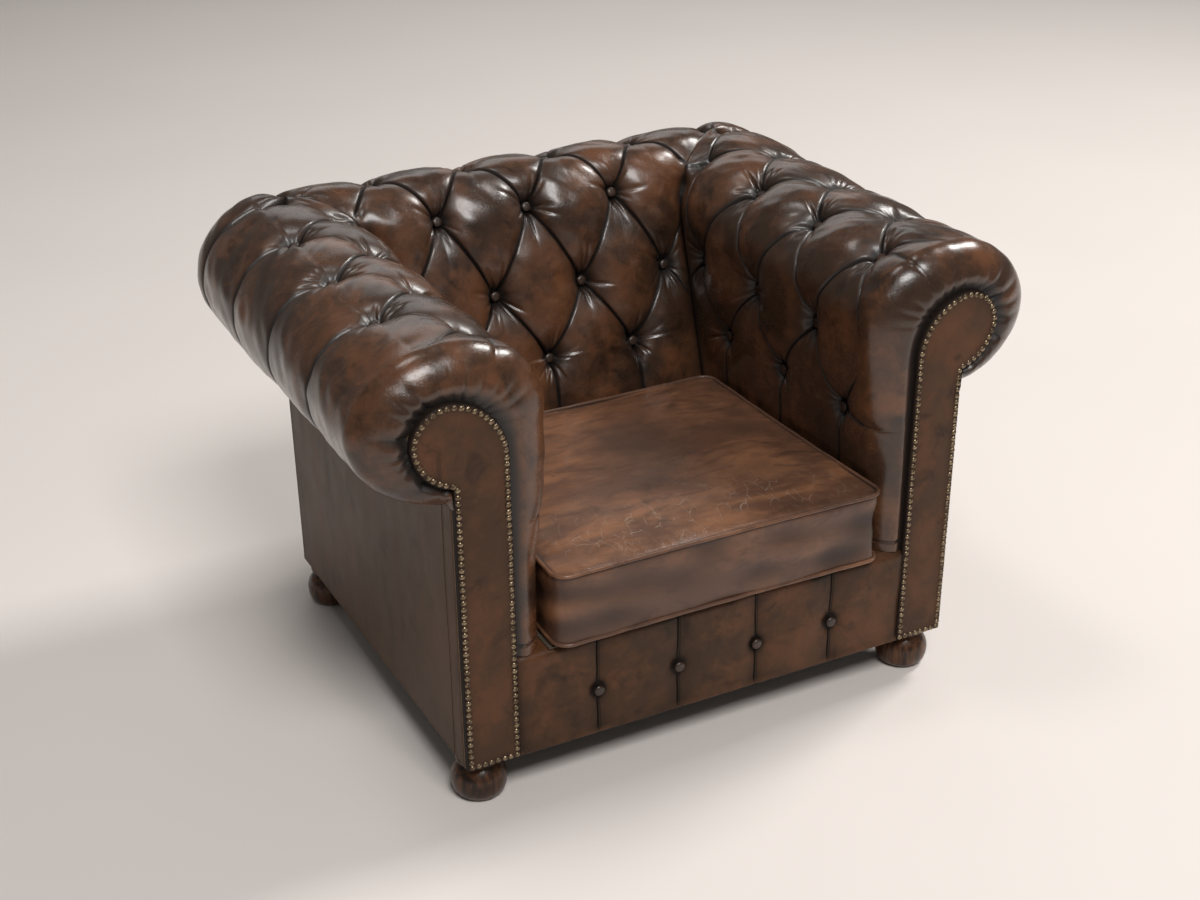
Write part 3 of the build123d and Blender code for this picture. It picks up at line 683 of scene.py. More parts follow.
@dataclass
class Buttoning:
    """Deep buttoning: pillows between folded seams, pulled down at the buttons.

    Rows 1 to 4 hold the buttons. Beyond the last one the seams run on round the roll as bands.
    """

    scroll: Scroll
    seed: int
    last_button_row: int = 4
    steps: int = 44
    outer_rows: int = 76
    seam_rise: float = 0.60
    sharpness: float = 0.60
    band_sharpness: float = 0.45
    lap: float = 0.80
    seam_span: float = 137.0
    groove: float = 2.8
    groove_width: float = 2.1
    outer_groove: float = 0.9
    seam_shade: float = 3.0
    outer_seam_shade: float = 1.5
    side_shade: float = 0.45
    side_shade_width: float = 12.0
    dimple: float = 9.0
    dimple_width: float = 15.0
    funnel: float = 9.0
    funnel_width: float = 27.0
    reach: float = 85.0
    folds: int = 16
    fold_length: tuple[float, float] = (30.0, 76.0)
    fold_depth: tuple[float, float] = (2.0, 4.6)
    fold_width: float = 1.7
    fold_widening: float = 0.035
    fold_bend: float = 0.0015
    fold_shade: float = 0.4

    def rows(self) -> np.ndarray:
        """Rows of a mesh, even across the diamonds and spread beyond them."""
        start = self.scroll.first_row(self.scroll.rise)
        first = math.ceil(start * self.steps) / self.steps
        inside = np.arange(first, self.last_button_row, 1 / self.steps)
        beyond = np.linspace(self.last_button_row, self.scroll.last_row(), self.outer_rows)
        return np.concatenate([[start], inside, beyond])

    def pillow(self, row: np.ndarray, station: np.ndarray) -> tuple[np.ndarray, ...]:
        """Fullness of the leather between the seams.

        Args:
            row: buttoning row, across the seams.
            station: place along the roll in half pitches.

        Returns:
            Fullness from 0 on a seam to 1 on a crown, how far along its seam a point is, and the
            distance to the nearest seam in millimetres.
        """
        diamond = np.clip(row, 1, self.last_button_row)
        first = (diamond + station) / 2
        second = (diamond - station) / 2
        over = np.sin(np.pi * np.mod(first, 1) ** self.lap)
        under = np.sin(np.pi * np.mod(second, 1) ** self.lap)
        edge = (diamond < row) | (diamond > row)
        plain = np.abs(np.sin(np.pi * first)) ** self.band_sharpness
        full = np.where(edge, plain, (over * under) ** self.sharpness)
        run = np.maximum(np.abs(np.sin(np.pi * first)), np.abs(np.sin(np.pi * second))) ** 1.2
        away = np.abs(np.mod(np.stack([first, second]) + 0.5, 1) - 0.5).min(0)
        return np.clip(full, 0, 1), run, away * self.seam_span

    def lift(self, row: np.ndarray, station: np.ndarray,
             tufted: np.ndarray) -> tuple[np.ndarray, np.ndarray]:
        """Height of the leather above the seam line, and the painted shade there."""
        full, run, away = self.pillow(row, station)
        crown = self.scroll.share(self.scroll.crowns, row)
        seam = self.scroll.share(self.scroll.seams, row)
        beyond = np.clip(np.maximum(row - self.last_button_row, 1 - row), 0, 1)
        sunk = seam * (1 - full) * (1 - self.seam_rise * run)
        sunk = sunk * (1 - 0.55 * smooth(beyond, 0, 0.5)) * tufted
        line = bell(away, self.groove_width) * tufted
        outer = smooth(row, self.last_button_row, self.last_button_row + 0.4)
        puff = self.scroll.puff * (crown - sunk) - self.groove * (1 + self.outer_groove * outer) * line
        # Painted shade along the seams and beside them, and in the sunk leather
        shade = self.seam_shade + self.outer_seam_shade * outer
        beside = self.side_shade * bell(away, self.side_shade_width, 1.3) * tufted
        painted_shade = np.maximum(bell(away, shade) * tufted, beside)
        return puff, np.clip(np.maximum(painted_shade, sunk * 0.8), 0, 1)

    def near_buttons(self, points: np.ndarray, seats: Sequence[Seat],
                     axis: np.ndarray) -> tuple[np.ndarray, np.ndarray]:
        """Pull of the buttons on the leather round them.

        Args:
            points: places of the leather.
            seats: place and outward direction of each button.
            axis: direction along the roll, from which turns are counted.

        Returns:
            Depth of the dimples with their small folds, and the painted shade in them.
        """
        depth = np.zeros(points.shape[:-1])
        painted_shade = np.zeros(points.shape[:-1])
        for number, (button, way) in enumerate(seats):
            away = points - button
            reach = np.linalg.norm(away, axis=-1)
            near = reach < self.reach
            if not near.any():
                continue
            span = reach[near]
            along = away[near] @ axis
            upwards = away[near] @ np.cross(axis, way)
            pull = self.dimple * bell(span, self.dimple_width, 2.6)
            pull += self.funnel * bell(span, self.funnel_width, 1.5)
            rng = np.random.default_rng(self.seed * 100 + number)
            # Painted shade in the button's well, and along each small fold below
            dark = bell(span, 16) + 0.45 * bell(span, 32)
            for fold in range(self.folds):
                lean = rng.normal(0, 0.7) + (fold % 2) * math.pi + math.pi / 2
                length, deep = rng.uniform(*self.fold_length), rng.uniform(*self.fold_depth)
                ahead = along * math.cos(lean) + upwards * math.sin(lean)
                beside = upwards * math.cos(lean) - along * math.sin(lean) + self.fold_bend * ahead**2
                slit = bell(beside, self.fold_width + self.fold_widening * ahead)
                slit = slit * smooth(ahead, 5, 12) * (1 - smooth(ahead, 0.3 * length, length))
                pull += deep * slit
                dark = np.maximum(dark, self.fold_shade * slit)
            depth[near] += pull
            painted_shade[near] = np.maximum(painted_shade[near], dark)
        return depth, painted_shade


def clip_to(piece: bpy.types.Object, planes: Sequence[tuple[Vector, Vector]],
            drop: Callable[[Vector], bool]) -> None:
    """Cuts a mesh along planes and deletes the faces on the far side.

    Args:
        piece: object to cut, in metres.
        planes: a point and a normal for each cut.
        drop: says whether a face with this centre goes.
    """
    work = bmesh.new()
    work.from_mesh(piece.data)
    for point, normal in planes:
        every = work.verts[:] + work.edges[:] + work.faces[:]
        bmesh.ops.bisect_plane(work, geom=every, dist=1e-6, plane_co=point, plane_no=normal)
    doomed = [face for face in work.faces if drop(face.calc_center_median())]
    bmesh.ops.delete(work, geom=doomed, context="FACES")
    bmesh.ops.remove_doubles(work, verts=work.verts[:], dist=2e-5)
    rims = [edge for edge in work.edges if edge.is_boundary]
    bmesh.ops.holes_fill(work, edges=rims, sides=0)
    work.to_mesh(piece.data)
    work.free()


@dataclass(frozen=True)
class Mitre:
    """Upright joint where the leather of an arm meets that of the back, tilted below its knee."""

    wall_side: float = 298.0
    knee_depth: float = 652.0
    knee_height: float = 684.0
    crest_height: float = 724.0
    valley: float = 4.0
    crest: float = 0.175
    notch: float = 0.06
    notch_height: float = 702.0
    notch_width: float = 12.0

    def turn(self) -> float:
        """Angle of the joint in plan."""
        return math.atan2(BACK.inner, ARM.inner)

    def slope(self) -> float:
        """How far the lower part of the joint comes forwards for each millimetre down."""
        return math.tan(math.radians(BACK.lean)) * math.cos(self.turn())

    def offset(self, side: np.ndarray, depth: np.ndarray) -> np.ndarray:
        """Distance behind the upright part of the joint, on the right side."""
        turn = self.turn()
        return (depth - self.knee_depth) * math.cos(turn) - (side - self.wall_side) * math.sin(turn)

    def behind(self, side: np.ndarray, depth: np.ndarray, height: np.ndarray) -> np.ndarray:
        """Distance behind the joint, below its knee as well as above."""
        lower = np.minimum((height - self.knee_height) * self.slope(), 0)
        return self.offset(np.abs(side), depth) - lower

    def seats(self) -> list[Seat]:
        """Places and directions of the corner's button and of the pull at the top of its fold."""
        lower = (np.array([331.0, 667.0, 704.0]), np.array([-0.5, -0.5, 0.7]))
        upper = (np.array([415.0, 729.0, 755.0]), np.array([0.1, 0.1, 0.99]))
        return [lower, upper]

    def lift(self, height: np.ndarray, outward: np.ndarray, steep: np.ndarray,
             share: float) -> np.ndarray:
        """Lift of the leather on the joint, so that arm and back meet in one line.

        Args:
            height: height of each point.
            outward: level part of the leather's direction.
            steep: steepness of the roll's section there.
            share: how far this leather moves for each millimetre that the arm's moves.

        Returns:
            Lift above the seam line.
        """
        knee = self.valley * math.cos(math.radians(BACK.spring(BACK.rise))) / ARM.inner
        notch = self.notch * bell(height - self.notch_height, self.notch_width)
        level = knee + (self.crest - knee) * smooth(height, self.knee_height, self.crest_height) - notch
        return np.where(height < self.knee_height, self.valley * share * np.abs(outward), level / steep)

    def near(self, join: np.ndarray, height: np.ndarray) -> np.ndarray:
        """How far a point's leather follows the joint: 1 on it, 0 away from it."""
        reach = 19 - 9 * smooth(height, 690, 725)
        return bell(np.abs(join), reach, 1.6)

    def shade(self, join: np.ndarray, height: np.ndarray) -> np.ndarray:
        """Painted shade on the leather beside the joint."""
        over = smooth(height, 700, 728)
        return (1 - 0.75 * over) * np.exp(-np.abs(join) / (7 - 3 * over))

    def planes(self, sign: int) -> list[tuple[Vector, Vector]]:
        """Point and normal in metres of the joint's upright and tilted faces."""
        turn = self.turn()
        point = Vector(to_row(np.array([sign * self.wall_side, self.knee_depth, self.knee_height])))
        across = Vector((-math.sin(turn) * sign, math.cos(turn), 0))
        tilted = across - Vector((0, 0, self.slope()))
        return [(point, across), (point, tilted.normalized())]


MITRE = Mitre()


@dataclass
class Facing:
    """Leather-covered board with a scroll head on the front of an arm, and its row of nails."""

    hand: Hand
    inner_side: float = FACING_SIDE
    outer_side: float = BASE_SIDE
    bottom: float = BASE_BOTTOM
    spring: float = 585.0
    top: tuple[float, float] = (428.0, 682.0)
    outer: tuple[float, float] = (498.0, 626.0)
    hook: float = 553.0
    bulges: tuple[float, float, float] = (22.0, 20.0, 16.0)
    inner_steps: int = 40
    arc_steps: int = 26
    outer_steps: int = 36
    thickness: float = 12.0
    edge_radius: float = 3.2
    edge_shares: tuple[float, ...] = (0.3, 0.6, 0.85, 1.0)
    padding: tuple[tuple[float, float], ...] = ((8.0, -0.2), (14.0, 0.15), (22.0, -0.35), (32.0, -0.6))
    wave: float = 0.5
    wave_length: float = 90.0
    edge_shade: float = 0.8
    edge_shade_width: float = 12.0
    nail_inset: float = 6.0
    nail_radius: float = 4.7
    nail_height: float = 3.0
    nail_sink: float = 0.4
    nail_pitch: float = 10.7
    nail_jitter: float = 0.06
    nail_sizes: tuple[float, float] = (0.95, 1.03)
    nail_tilt: float = 0.05
    dome_floor: float = -0.2

    def arc(self, start: tuple, end: tuple, bulge: float) -> list[np.ndarray]:
        """Points along an arc that bulges to the left of its run, without the last."""
        first, last = np.array(start, float), np.array(end, float)
        run = last - first
        span = np.linalg.norm(run)
        way = run / span
        left = np.array([-way[1], way[0]])
        radius = (span * span / 4 + bulge * bulge) / (2 * bulge)
        middle = (first + last) / 2 + left * (bulge - radius)
        begin = math.atan2(*(first - middle)[::-1])
        finish = math.atan2(*(last - middle)[::-1])
        sweep = (finish - begin) % -TAU
        turns = begin + sweep * np.arange(self.arc_steps) / self.arc_steps
        return [middle + radius * np.array([math.cos(t), math.sin(t)]) for t in turns]

    def outline(self) -> np.ndarray:
        """Outline by side and height on the right, from the inner bottom corner upwards."""
        corners = [(self.inner_side, self.spring), self.top, self.outer, (self.outer_side, self.hook)]
        heights = np.linspace(self.bottom, self.spring, self.inner_steps)[:-1]
        points = [np.array([self.inner_side, height]) for height in heights]
        for start, end, bulge in zip(corners, corners[1:], self.bulges):
            points += self.arc(start, end, bulge)
        heights = np.linspace(self.hook, self.bottom, self.outer_steps)
        return np.array(points + [np.array([self.outer_side, height]) for height in heights])

    def shrunk(self, inset: float) -> np.ndarray:
        """Outline moved inwards all round."""
        line = self.outline()
        run = np.roll(line, -1, 0) - np.roll(line, 1, 0)
        run /= np.linalg.norm(run, axis=1)[:, None]
        moved = line + np.stack([run[:, 1], -run[:, 0]], 1) * inset
        low = self.bottom + inset
        moved[:, 1] = np.maximum(moved[:, 1], low)
        moved[0] = (self.inner_side + inset, low)
        moved[-1] = (self.outer_side - inset, low)
        return moved

    def board(self) -> bpy.types.Object:
        """Builds the padded board with its rounded edge."""
        rings = [(0.0, self.thickness), (0.0, self.edge_radius)]
        for share in self.edge_shares:
            turn = share * math.pi / 2
            rings.append((self.edge_radius * (1 - math.cos(turn)),
                          self.edge_radius * (1 - math.sin(turn))))
        rings += self.padding
        loops = []
        for inset, depth in rings:
            line = self.shrunk(inset)
            loops.append(np.stack([line[:, 0], np.full(len(line), depth), line[:, 1]], 1))
        points = np.array(loops)
        count = points.shape[1]
        points = np.concatenate([points, points[:, :1]], 1)
        faces = grid_faces(len(rings), count + 1).tolist()
        faces = [[n - (n % (count + 1) == count) * count for n in face] for face in faces]
        flat = points.reshape(-1, 3)
        on_face = flat[:, 1] < 2
        flat[:, 1] += self.wave * field_noise(flat, 5 + self.hand.value, self.wave_length) * on_face
        last = (len(rings) - 1) * (count + 1)
        faces += [list(range(last, last + count)), list(range(count))[::-1]]
        flat[:, 0] *= self.hand.value
        piece = new_object(f"{self.hand.word}_facing", to_row(flat), faces)
        work = bmesh.new()
        work.from_mesh(piece.data)
        bmesh.ops.delete(work, geom=[v for v in work.verts if not v.link_faces], context="VERTS")
        bmesh.ops.triangulate(work, faces=[f for f in work.faces if len(f.verts) > 4])
        work.to_mesh(piece.data)
        work.free()
        line, shape = self.outline(), vertices_of(piece) * 1000
        gap = [np.hypot(line[:, 0] - side, line[:, 1] - height).min()
               for side, height in zip(np.abs(shape[:, 0]), shape[:, 2])]
        # Painted shade towards the board's edge and its row of nails
        painted_shade = self.edge_shade * np.exp(-np.array(gap) / self.edge_shade_width)
        set_attribute(piece, "painted_shade", painted_shade)
        settle_normals(piece, 50)
        return piece

    def dome(self) -> tuple[np.ndarray, list[list[int]]]:
        """Points and faces of one nail head that stands up along Z."""
        bpy.ops.mesh.primitive_uv_sphere_add(segments=12, ring_count=8, radius=1.0)
        ball = bpy.context.active_object
        shape = vertices_of(ball)
        faces = [list(p.vertices) for p in ball.data.polygons]
        bpy.data.objects.remove(ball)
        keep = shape[:, 2] > self.dome_floor
        number = np.cumsum(keep) - 1
        return shape[keep], [[int(number[i]) for i in f] for f in faces if all(keep[i] for i in f)]

    def nails(self) -> bpy.types.Object:
        """Builds the row of domed nails as copies of one dome."""
        line = self.shrunk(self.nail_inset)
        closed = np.concatenate([line, line[:1]])
        along = run_along(closed)
        count = round(along[-1] / self.nail_pitch)
        rng = np.random.default_rng(31 + self.hand.value)
        jitter = rng.uniform(-self.nail_jitter, self.nail_jitter, count)
        places = (np.arange(count) + jitter) * along[-1] / count
        sides = np.interp(places, along, closed[:, 0])
        heights = np.interp(places, along, closed[:, 1])
        dome, cap = self.dome()
        vertices, faces = [], []
        for nail in range(count):
            size = self.nail_radius * rng.uniform(*self.nail_sizes)
            tilt = rng.normal(0, self.nail_tilt, 2)
            side = sides[nail] + dome[:, 0] * size
            height = heights[nail] + dome[:, 1] * size
            lean = dome[:, 0] * tilt[0] + dome[:, 1] * tilt[1]
            depth = self.nail_sink - dome[:, 2] * self.nail_height + lean
            faces += [[i + len(vertices) * len(dome) for i in f] for f in cap]
            vertices.append(np.stack([side * self.hand.value, depth, height], 1))
        piece = new_object(f"{self.hand.word}_nails", to_row(np.concatenate(vertices)), faces)
        settle_normals(piece)
        return piece

    def make(self) -> None:
        """Builds and dresses the board and its nails."""
        dress(self.board(), FACED, Body.CHAIR, "dark_leather", f"{self.hand.word}_arm_facing")
        dress(self.nails(), NAIL, Body.CHAIR, "nail_brass", f"{self.hand.word}_nail_row")


@dataclass
class Buttons:
    """Leather-covered buttons, all from one domed cap."""

    name: str
    radius: float = 9.0
    height: float = 6.0
    sides: int = 18
    pucker: float = 0.025
    profile: tuple[tuple[float, float], ...] = (
        (0.90, 0.0), (1.0, 0.14), (1.0, 0.42), (0.93, 0.68), (0.76, 0.88), (0.5, 0.98), (0.22, 1.0),
    )
    peak: float = 0.97

    def cap(self) -> tuple[np.ndarray, list[list[int]]]:
        """Points and faces of one cap that stands up along Z."""
        sides = self.sides
        turns = np.arange(sides) / sides * 2 * math.pi
        points = []
        for wide, high in self.profile:
            pucker = 1 + self.pucker * np.sin(turns * 5) * (high < 0.9)
            points += [(wide * self.radius * c * p, wide * self.radius * s * p, high * self.height)
                       for c, s, p in zip(np.cos(turns), np.sin(turns), pucker)]
        after = [(i + 1) % sides for i in range(sides)]
        faces = [[r * sides + i, r * sides + after[i], (r + 1) * sides + after[i], (r + 1) * sides + i]
                 for r in range(len(self.profile) - 1) for i in range(sides)]
        points.append((0, 0, self.peak * self.height))
        last = (len(self.profile) - 1) * sides
        faces += [[last + i, last + after[i], len(points) - 1] for i in range(sides)]
        faces.append(list(range(sides))[::-1])
        return np.array(points), faces

    def make(self, seats: Sequence[Seat], node: str) -> None:
        """Builds a button at each seat.

        Args:
            seats: foot and outward direction of each button, as side, depth and height.
            node: CAD node that the buttons stand for.
        """
        shape, cap = self.cap()
        vertices, faces = [], []
        for foot, way in seats:
            turn = Vector((0, 0, 1)).rotation_difference(Vector(way)).to_matrix()
            faces += [[i + len(vertices) * len(shape) for i in f] for f in cap]
            vertices.append(shape @ np.array(turn).T + foot)
        piece = new_object(self.name, to_row(np.concatenate(vertices)), faces)
        settle_normals(piece)
        # Painted shade: the buttons are darkened as if sunk in their wells
        set_attribute(piece, "painted_shade", np.full(len(piece.data.vertices), 0.5))
        dress(piece, PADDED, Body.CHAIR, "dark_leather", node)


@dataclass
class Padding:
    """What a buttoned arm and the buttoned back have in common."""

    work: Buttoning
    button_sink: float = 9.0
    long_wave: tuple[float, float] = (1.1, 120.0)
    short_wave: tuple[float, float] = (0.45, 38.0)

    def seats(self) -> list[Seat]:
        """Foot and outward direction of each button; each form has its own."""
        raise NotImplementedError

    def pulls(self) -> list[Seat]:
        """Places where the buttons draw the leather down, with their directions."""
        return [(foot + way * self.button_sink, way) for foot, way in self.seats()]

    def waves(self, points: np.ndarray, long_seed: int, short_seed: int) -> np.ndarray:
        """Long and short waves of the stretched leather."""
        long, short = self.long_wave, self.short_wave
        return (long[0] * field_noise(points, long_seed, long[1])
                + short[0] * field_noise(points, short_seed, short[1]))

    def closed(self, row: np.ndarray, station: np.ndarray, skin: np.ndarray, dark: np.ndarray,
               rim: list[np.ndarray]) -> tuple[np.ndarray, np.ndarray, list[list[int]]]:
        """Closes a buttoned skin with plain sides behind it.

        Args:
            row: row of each point of the skin.
            station: station of each point of the skin.
            skin: points of the skin.
            dark: painted shade of the skin's points.
            rim: lines of points behind the skin, from its last row round to its first.

        Returns:
            Points, their painted shade, and the faces.
        """
        whole = np.concatenate([skin, np.array(rim)], 0)
        rows, columns = row.shape
        # The hidden sides behind the skin get full painted shade
        dark = np.concatenate([dark, np.ones((len(rim), columns))], 0)
        sides = grid_faces(len(whole), columns, wrap=True)[(rows - 1) * (columns - 1):]
        return whole, dark, seam_faces(row, station).tolist() + sides.tolist()


@dataclass
class Arm(Padding):
    """Padded, buttoned arm that rolls outwards, gathered round its facing."""

    work: Buttoning = field(default_factory=lambda: Buttoning(ARM, 11))
    hand: Hand = Hand.RIGHT
    seat_shares: tuple[float, ...] = (0.5, 1.0, 1.0, 0.6)
    first_button: float = 126.0
    half_pitch: float = 88.0
    full_rise_depth: float = 690.0
    last_station: float = 8.2
    plain_depths: tuple[float, float] = (48.0, 92.0)
    pleat_depth: float = 5.0
    pleat_width: float = 3.5
    front_steps: int = 30
    tuck: float = 9.0
    pocket_depth: float = 37.6
    gather_depth: float = 5.5
    gather_pitch: float = 11.5
    gather_swell: float = 2.2
    gather_start: tuple[float, float] = (330.0, 420.0)
    gather_full: tuple[float, float] = (640.0, 760.0)
    sewn_depth: float = 2.5
    sewn_width: float = 2.2
    scroll_middle: tuple[float, float] = (423.0, 630.0)
    wall_side: float = 400.0
    wall_heights: tuple[float, float] = (560.0, 610.0)
    hook_height: float = 520.0

    def depth_at(self, station: np.ndarray) -> np.ndarray:
        """Depth of a station, spread behind the last buttons to reach the corner's fold."""
        plain = self.first_button + (station - 1) * self.half_pitch
        last = self.first_button + 5 * self.half_pitch
        return np.where(station > 6, last + (station - 6) * (ROLL_DEPTH - last) / 2, plain)

    def rise_at(self, depth: np.ndarray | float) -> np.ndarray | float:
        """Height of the roll above its centre, which climbs to meet the back."""
        share = (depth - self.first_button) / (self.full_rise_depth - self.first_button)
        return ARM.rise + (BACK.rise - ARM.rise) * np.clip(share, 0, 1) ** 2

    def seats(self) -> list[Seat]:
        """Foot and outward direction of each button on the right arm."""
        found = []
        for row, seam in enumerate(self.seat_shares, 1):
            for index in range(3):
                depth = self.first_button + (2 * index + (1 - row % 2)) * self.half_pitch
                out, up, across, high = ARM.button(row, seam, self.rise_at(depth), self.button_sink)
                found.append((np.array([out, depth, up]), np.array([across, 0, high])))
        return found

    def leather(self, row: np.ndarray, station: np.ndarray) -> tuple[np.ndarray, np.ndarray]:
        """Leather of the right arm behind its rounded front.

        Args:
            row: row of each point.
            station: station of each point.

        Returns:
            Points and their painted shade.
        """
        depth = self.depth_at(station)
        rise = self.rise_at(depth)
        lift, painted_shade = self.work.lift(row, station, smooth(depth, *self.plain_depths))
        out, up, across, _ = ARM.section(row, np.full_like(row, MITRE.valley), rise)
        meeting = MITRE.lift(up, across, ARM.steepness(row, rise), 1.0)
        out, up = ARM.section(row, meeting, rise)[:2]
        join = MITRE.behind(out, depth, up)
        near = MITRE.near(join, up) * (out < ARM.centre)
        out, up, across, high = ARM.section(row, lift + (meeting - lift) * near, rise)
        points = np.stack([out, depth, up], -1)
        ways = np.stack([across, np.zeros_like(across), high], -1)
        pull, dark = self.work.near_buttons(points, self.pulls() + MITRE.seats(), np.array([0, 1.0, 0]))
        sign = self.hand.value
        puckers = self.waves(points, 3 + sign, 9 + sign) * smooth(row, 0.4, 1.2)
        pleat = np.exp(-np.abs(row - 1) * 72 / self.pleat_width)
        pleat = pleat + 0.8 * np.exp(-np.abs(row - 3) * 80 / self.pleat_width)
        pleat = pleat * self.pleat_depth * smooth(-station, -1.05, -0.75) * (station > -1)
        sink = (pull + pleat - puckers) * (1 - near)
        # Painted shade at the joint with the back, along the seams, in the wells and in the pleats
        shade = MITRE.shade(join, up) * (out < ARM.centre)
        dark = np.maximum.reduce([painted_shade, dark, pleat / 6.0, shade])
        return points - ways * sink[..., None], np.clip(dark, 0, 1)

    def facing_points(self, start: np.ndarray) -> np.ndarray:
        """Point on the facing's outline that each point of the leather is drawn to."""
        line = Facing(Hand.RIGHT).outline()
        fine = []
        for a, b in zip(line, line[1:]):
            fine += [a + (b - a) * t for t in np.linspace(0, 1, 6)[:-1]]
        fine = np.array(fine + [line[-1]])
        middle = self.scroll_middle
        angles = np.arctan2(fine[:, 1] - middle[1], fine[:, 0] - middle[0])
        found = []
        for side, height in start:
            on_wall = np.array([FACING_SIDE, height])
            if height < self.wall_heights[0] and side < self.wall_side:
                found.append(on_wall)
                continue
            turn = math.atan2(height - middle[1], side - middle[0])
            gap = np.abs((angles - turn + math.pi) % TAU - math.pi)
            point = fine[np.argmin(gap + 0.2 * (fine[:, 1] < self.hook_height))]
            if side < self.wall_side:
                share = float(smooth(height, *self.wall_heights))
                point = point * share + on_wall * (1 - share)
            found.append(point)
        return np.array(found)

    def front(self, first: np.ndarray) -> tuple[np.ndarray, np.ndarray]:
        """Rounded front that draws the leather in to the facing, with its gathers.

        Args:
            first: foremost line of the leather behind it.

        Returns:
            Points, from the pocket behind the facing to the leather, and their painted shade.
        """
        edge, sign = first[:, [0, 2]], self.hand.value
        target = self.facing_points(edge)
        run = run_along(first)
        sway = 0.9 * ripple(run, 5 + sign, 4, 0.01, 0.05)
        folds = np.abs(np.sin(run / self.gather_pitch + sway))
        deep = (0.35 + 0.65 * smooth(run, *self.gather_full)) * smooth(run, *self.gather_start)
        deep = deep * (1.0 + 0.45 * ripple(run, 15 + sign, 3, 0.02, 0.06))
        front, shade = [], []
        for step in range(1, self.front_steps + 1):
            turn = step / self.front_steps * math.pi / 2
            share = 1 - math.cos(turn)
            place = edge + (target - edge) * share
            dip = float(smooth(turn, 1.22, math.pi / 2))
            gather = float(smooth(share, 0.12, 0.8)) * deep
            depth = first[:, 1] * (1 - math.sin(turn)) + self.tuck * dip
            depth = depth + (1 - folds**0.6) * self.gather_depth * gather
            depth = depth - self.gather_swell * gather * (1 - dip)
            seam = self.sewn_depth * bell(place[:, 1] - CUSHION_SEAM, self.sewn_width)
            seam = seam * (place[:, 0] < self.wall_side)
            front.append(np.stack([place[:, 0], depth + seam, place[:, 1]], 1))
            # Painted shade where the leather dives behind the facing, in the gathers and along the sewn
            # line
            shade.append(np.clip(dip * 0.9 + (1 - folds**0.5) * gather * 0.7 + seam / 4, 0, 1))
        pocket = np.stack([target[:, 0], np.full(len(target), self.pocket_depth), target[:, 1]], 1)
        front = np.array([pocket] + front[::-1]).transpose(1, 0, 2)
        return front, np.array([np.ones(len(target))] + shade[::-1]).T

    def mesh(self) -> bpy.types.Object:
        """Builds the arm's closed skin."""
        rows, steps = self.work.rows(), self.work.steps
        stations = np.arange(round(steps / 7), int(self.last_station * steps) + 1) / steps
        points, dark = self.leather(*np.meshgrid(rows, stations, indexing="ij"))
        front, shade = self.front(points[:, 0])
        before = np.arange(-front.shape[1], 0) / steps + stations[0]
        row, station = np.meshgrid(rows, np.concatenate([before, stations]), indexing="ij")
        skin = np.concatenate([front, points], 1)
        depths = skin[-1, :, 1]
        top, inner = PANEL_TOP + PANEL_CLEARANCE, FACING_SIDE - 1
        rim = [np.stack([np.full_like(depths, side), np.maximum(depths, self.pocket_depth),
                         np.full_like(depths, height)], 1)
               for side, height in ((ARM.limit, top), (inner, top), (inner, ARM.foot))]
        dark = np.concatenate([shade, dark], 1)
        whole, dark, faces = self.closed(row, station, skin, dark, rim)
        count, columns = whole.shape[:2]
        faces.append([r * columns for r in range(count)])
        faces.append([r * columns + columns - 1 for r in range(count)][::-1])
        flat = whole.reshape(-1, 3)
        flat[:, 0] *= self.hand.value
        piece = new_object(f"{self.hand.word}_arm", to_row(flat), faces)
        set_attribute(piece, "painted_shade", dark)

        def beyond(centre: Vector) -> bool:
            """Whether a point lies behind the joint with the back."""
            side, depth, height = from_row(centre)
            if depth > ROLL_DEPTH:
                return True
            return side < ROLL_SIDE and bool(MITRE.behind(side, depth, height) > 0)

        rear = Vector((0, (ROLL_DEPTH - MIDDLE_DEPTH) / 1000, 0))
        clip_to(piece, MITRE.planes(self.hand.value) + [(rear, Vector((0, 1, 0)))], beyond)
        settle_normals(piece, 60)
        return piece

    def make(self) -> None:
        """Builds and dresses the arm and its buttons."""
        word = self.hand.word
        piece = self.mesh()
        dress(piece, PADDED, Body.CHAIR, "padded_leather", f"{word}_arm_upholstery")
        flip = np.array([self.hand.value, 1, 1])
        seats = [(foot * flip, way * flip) for foot, way in self.seats()]
        Buttons(f"{word}_arm_covered_buttons").make(seats, f"{word}_arm_buttons")


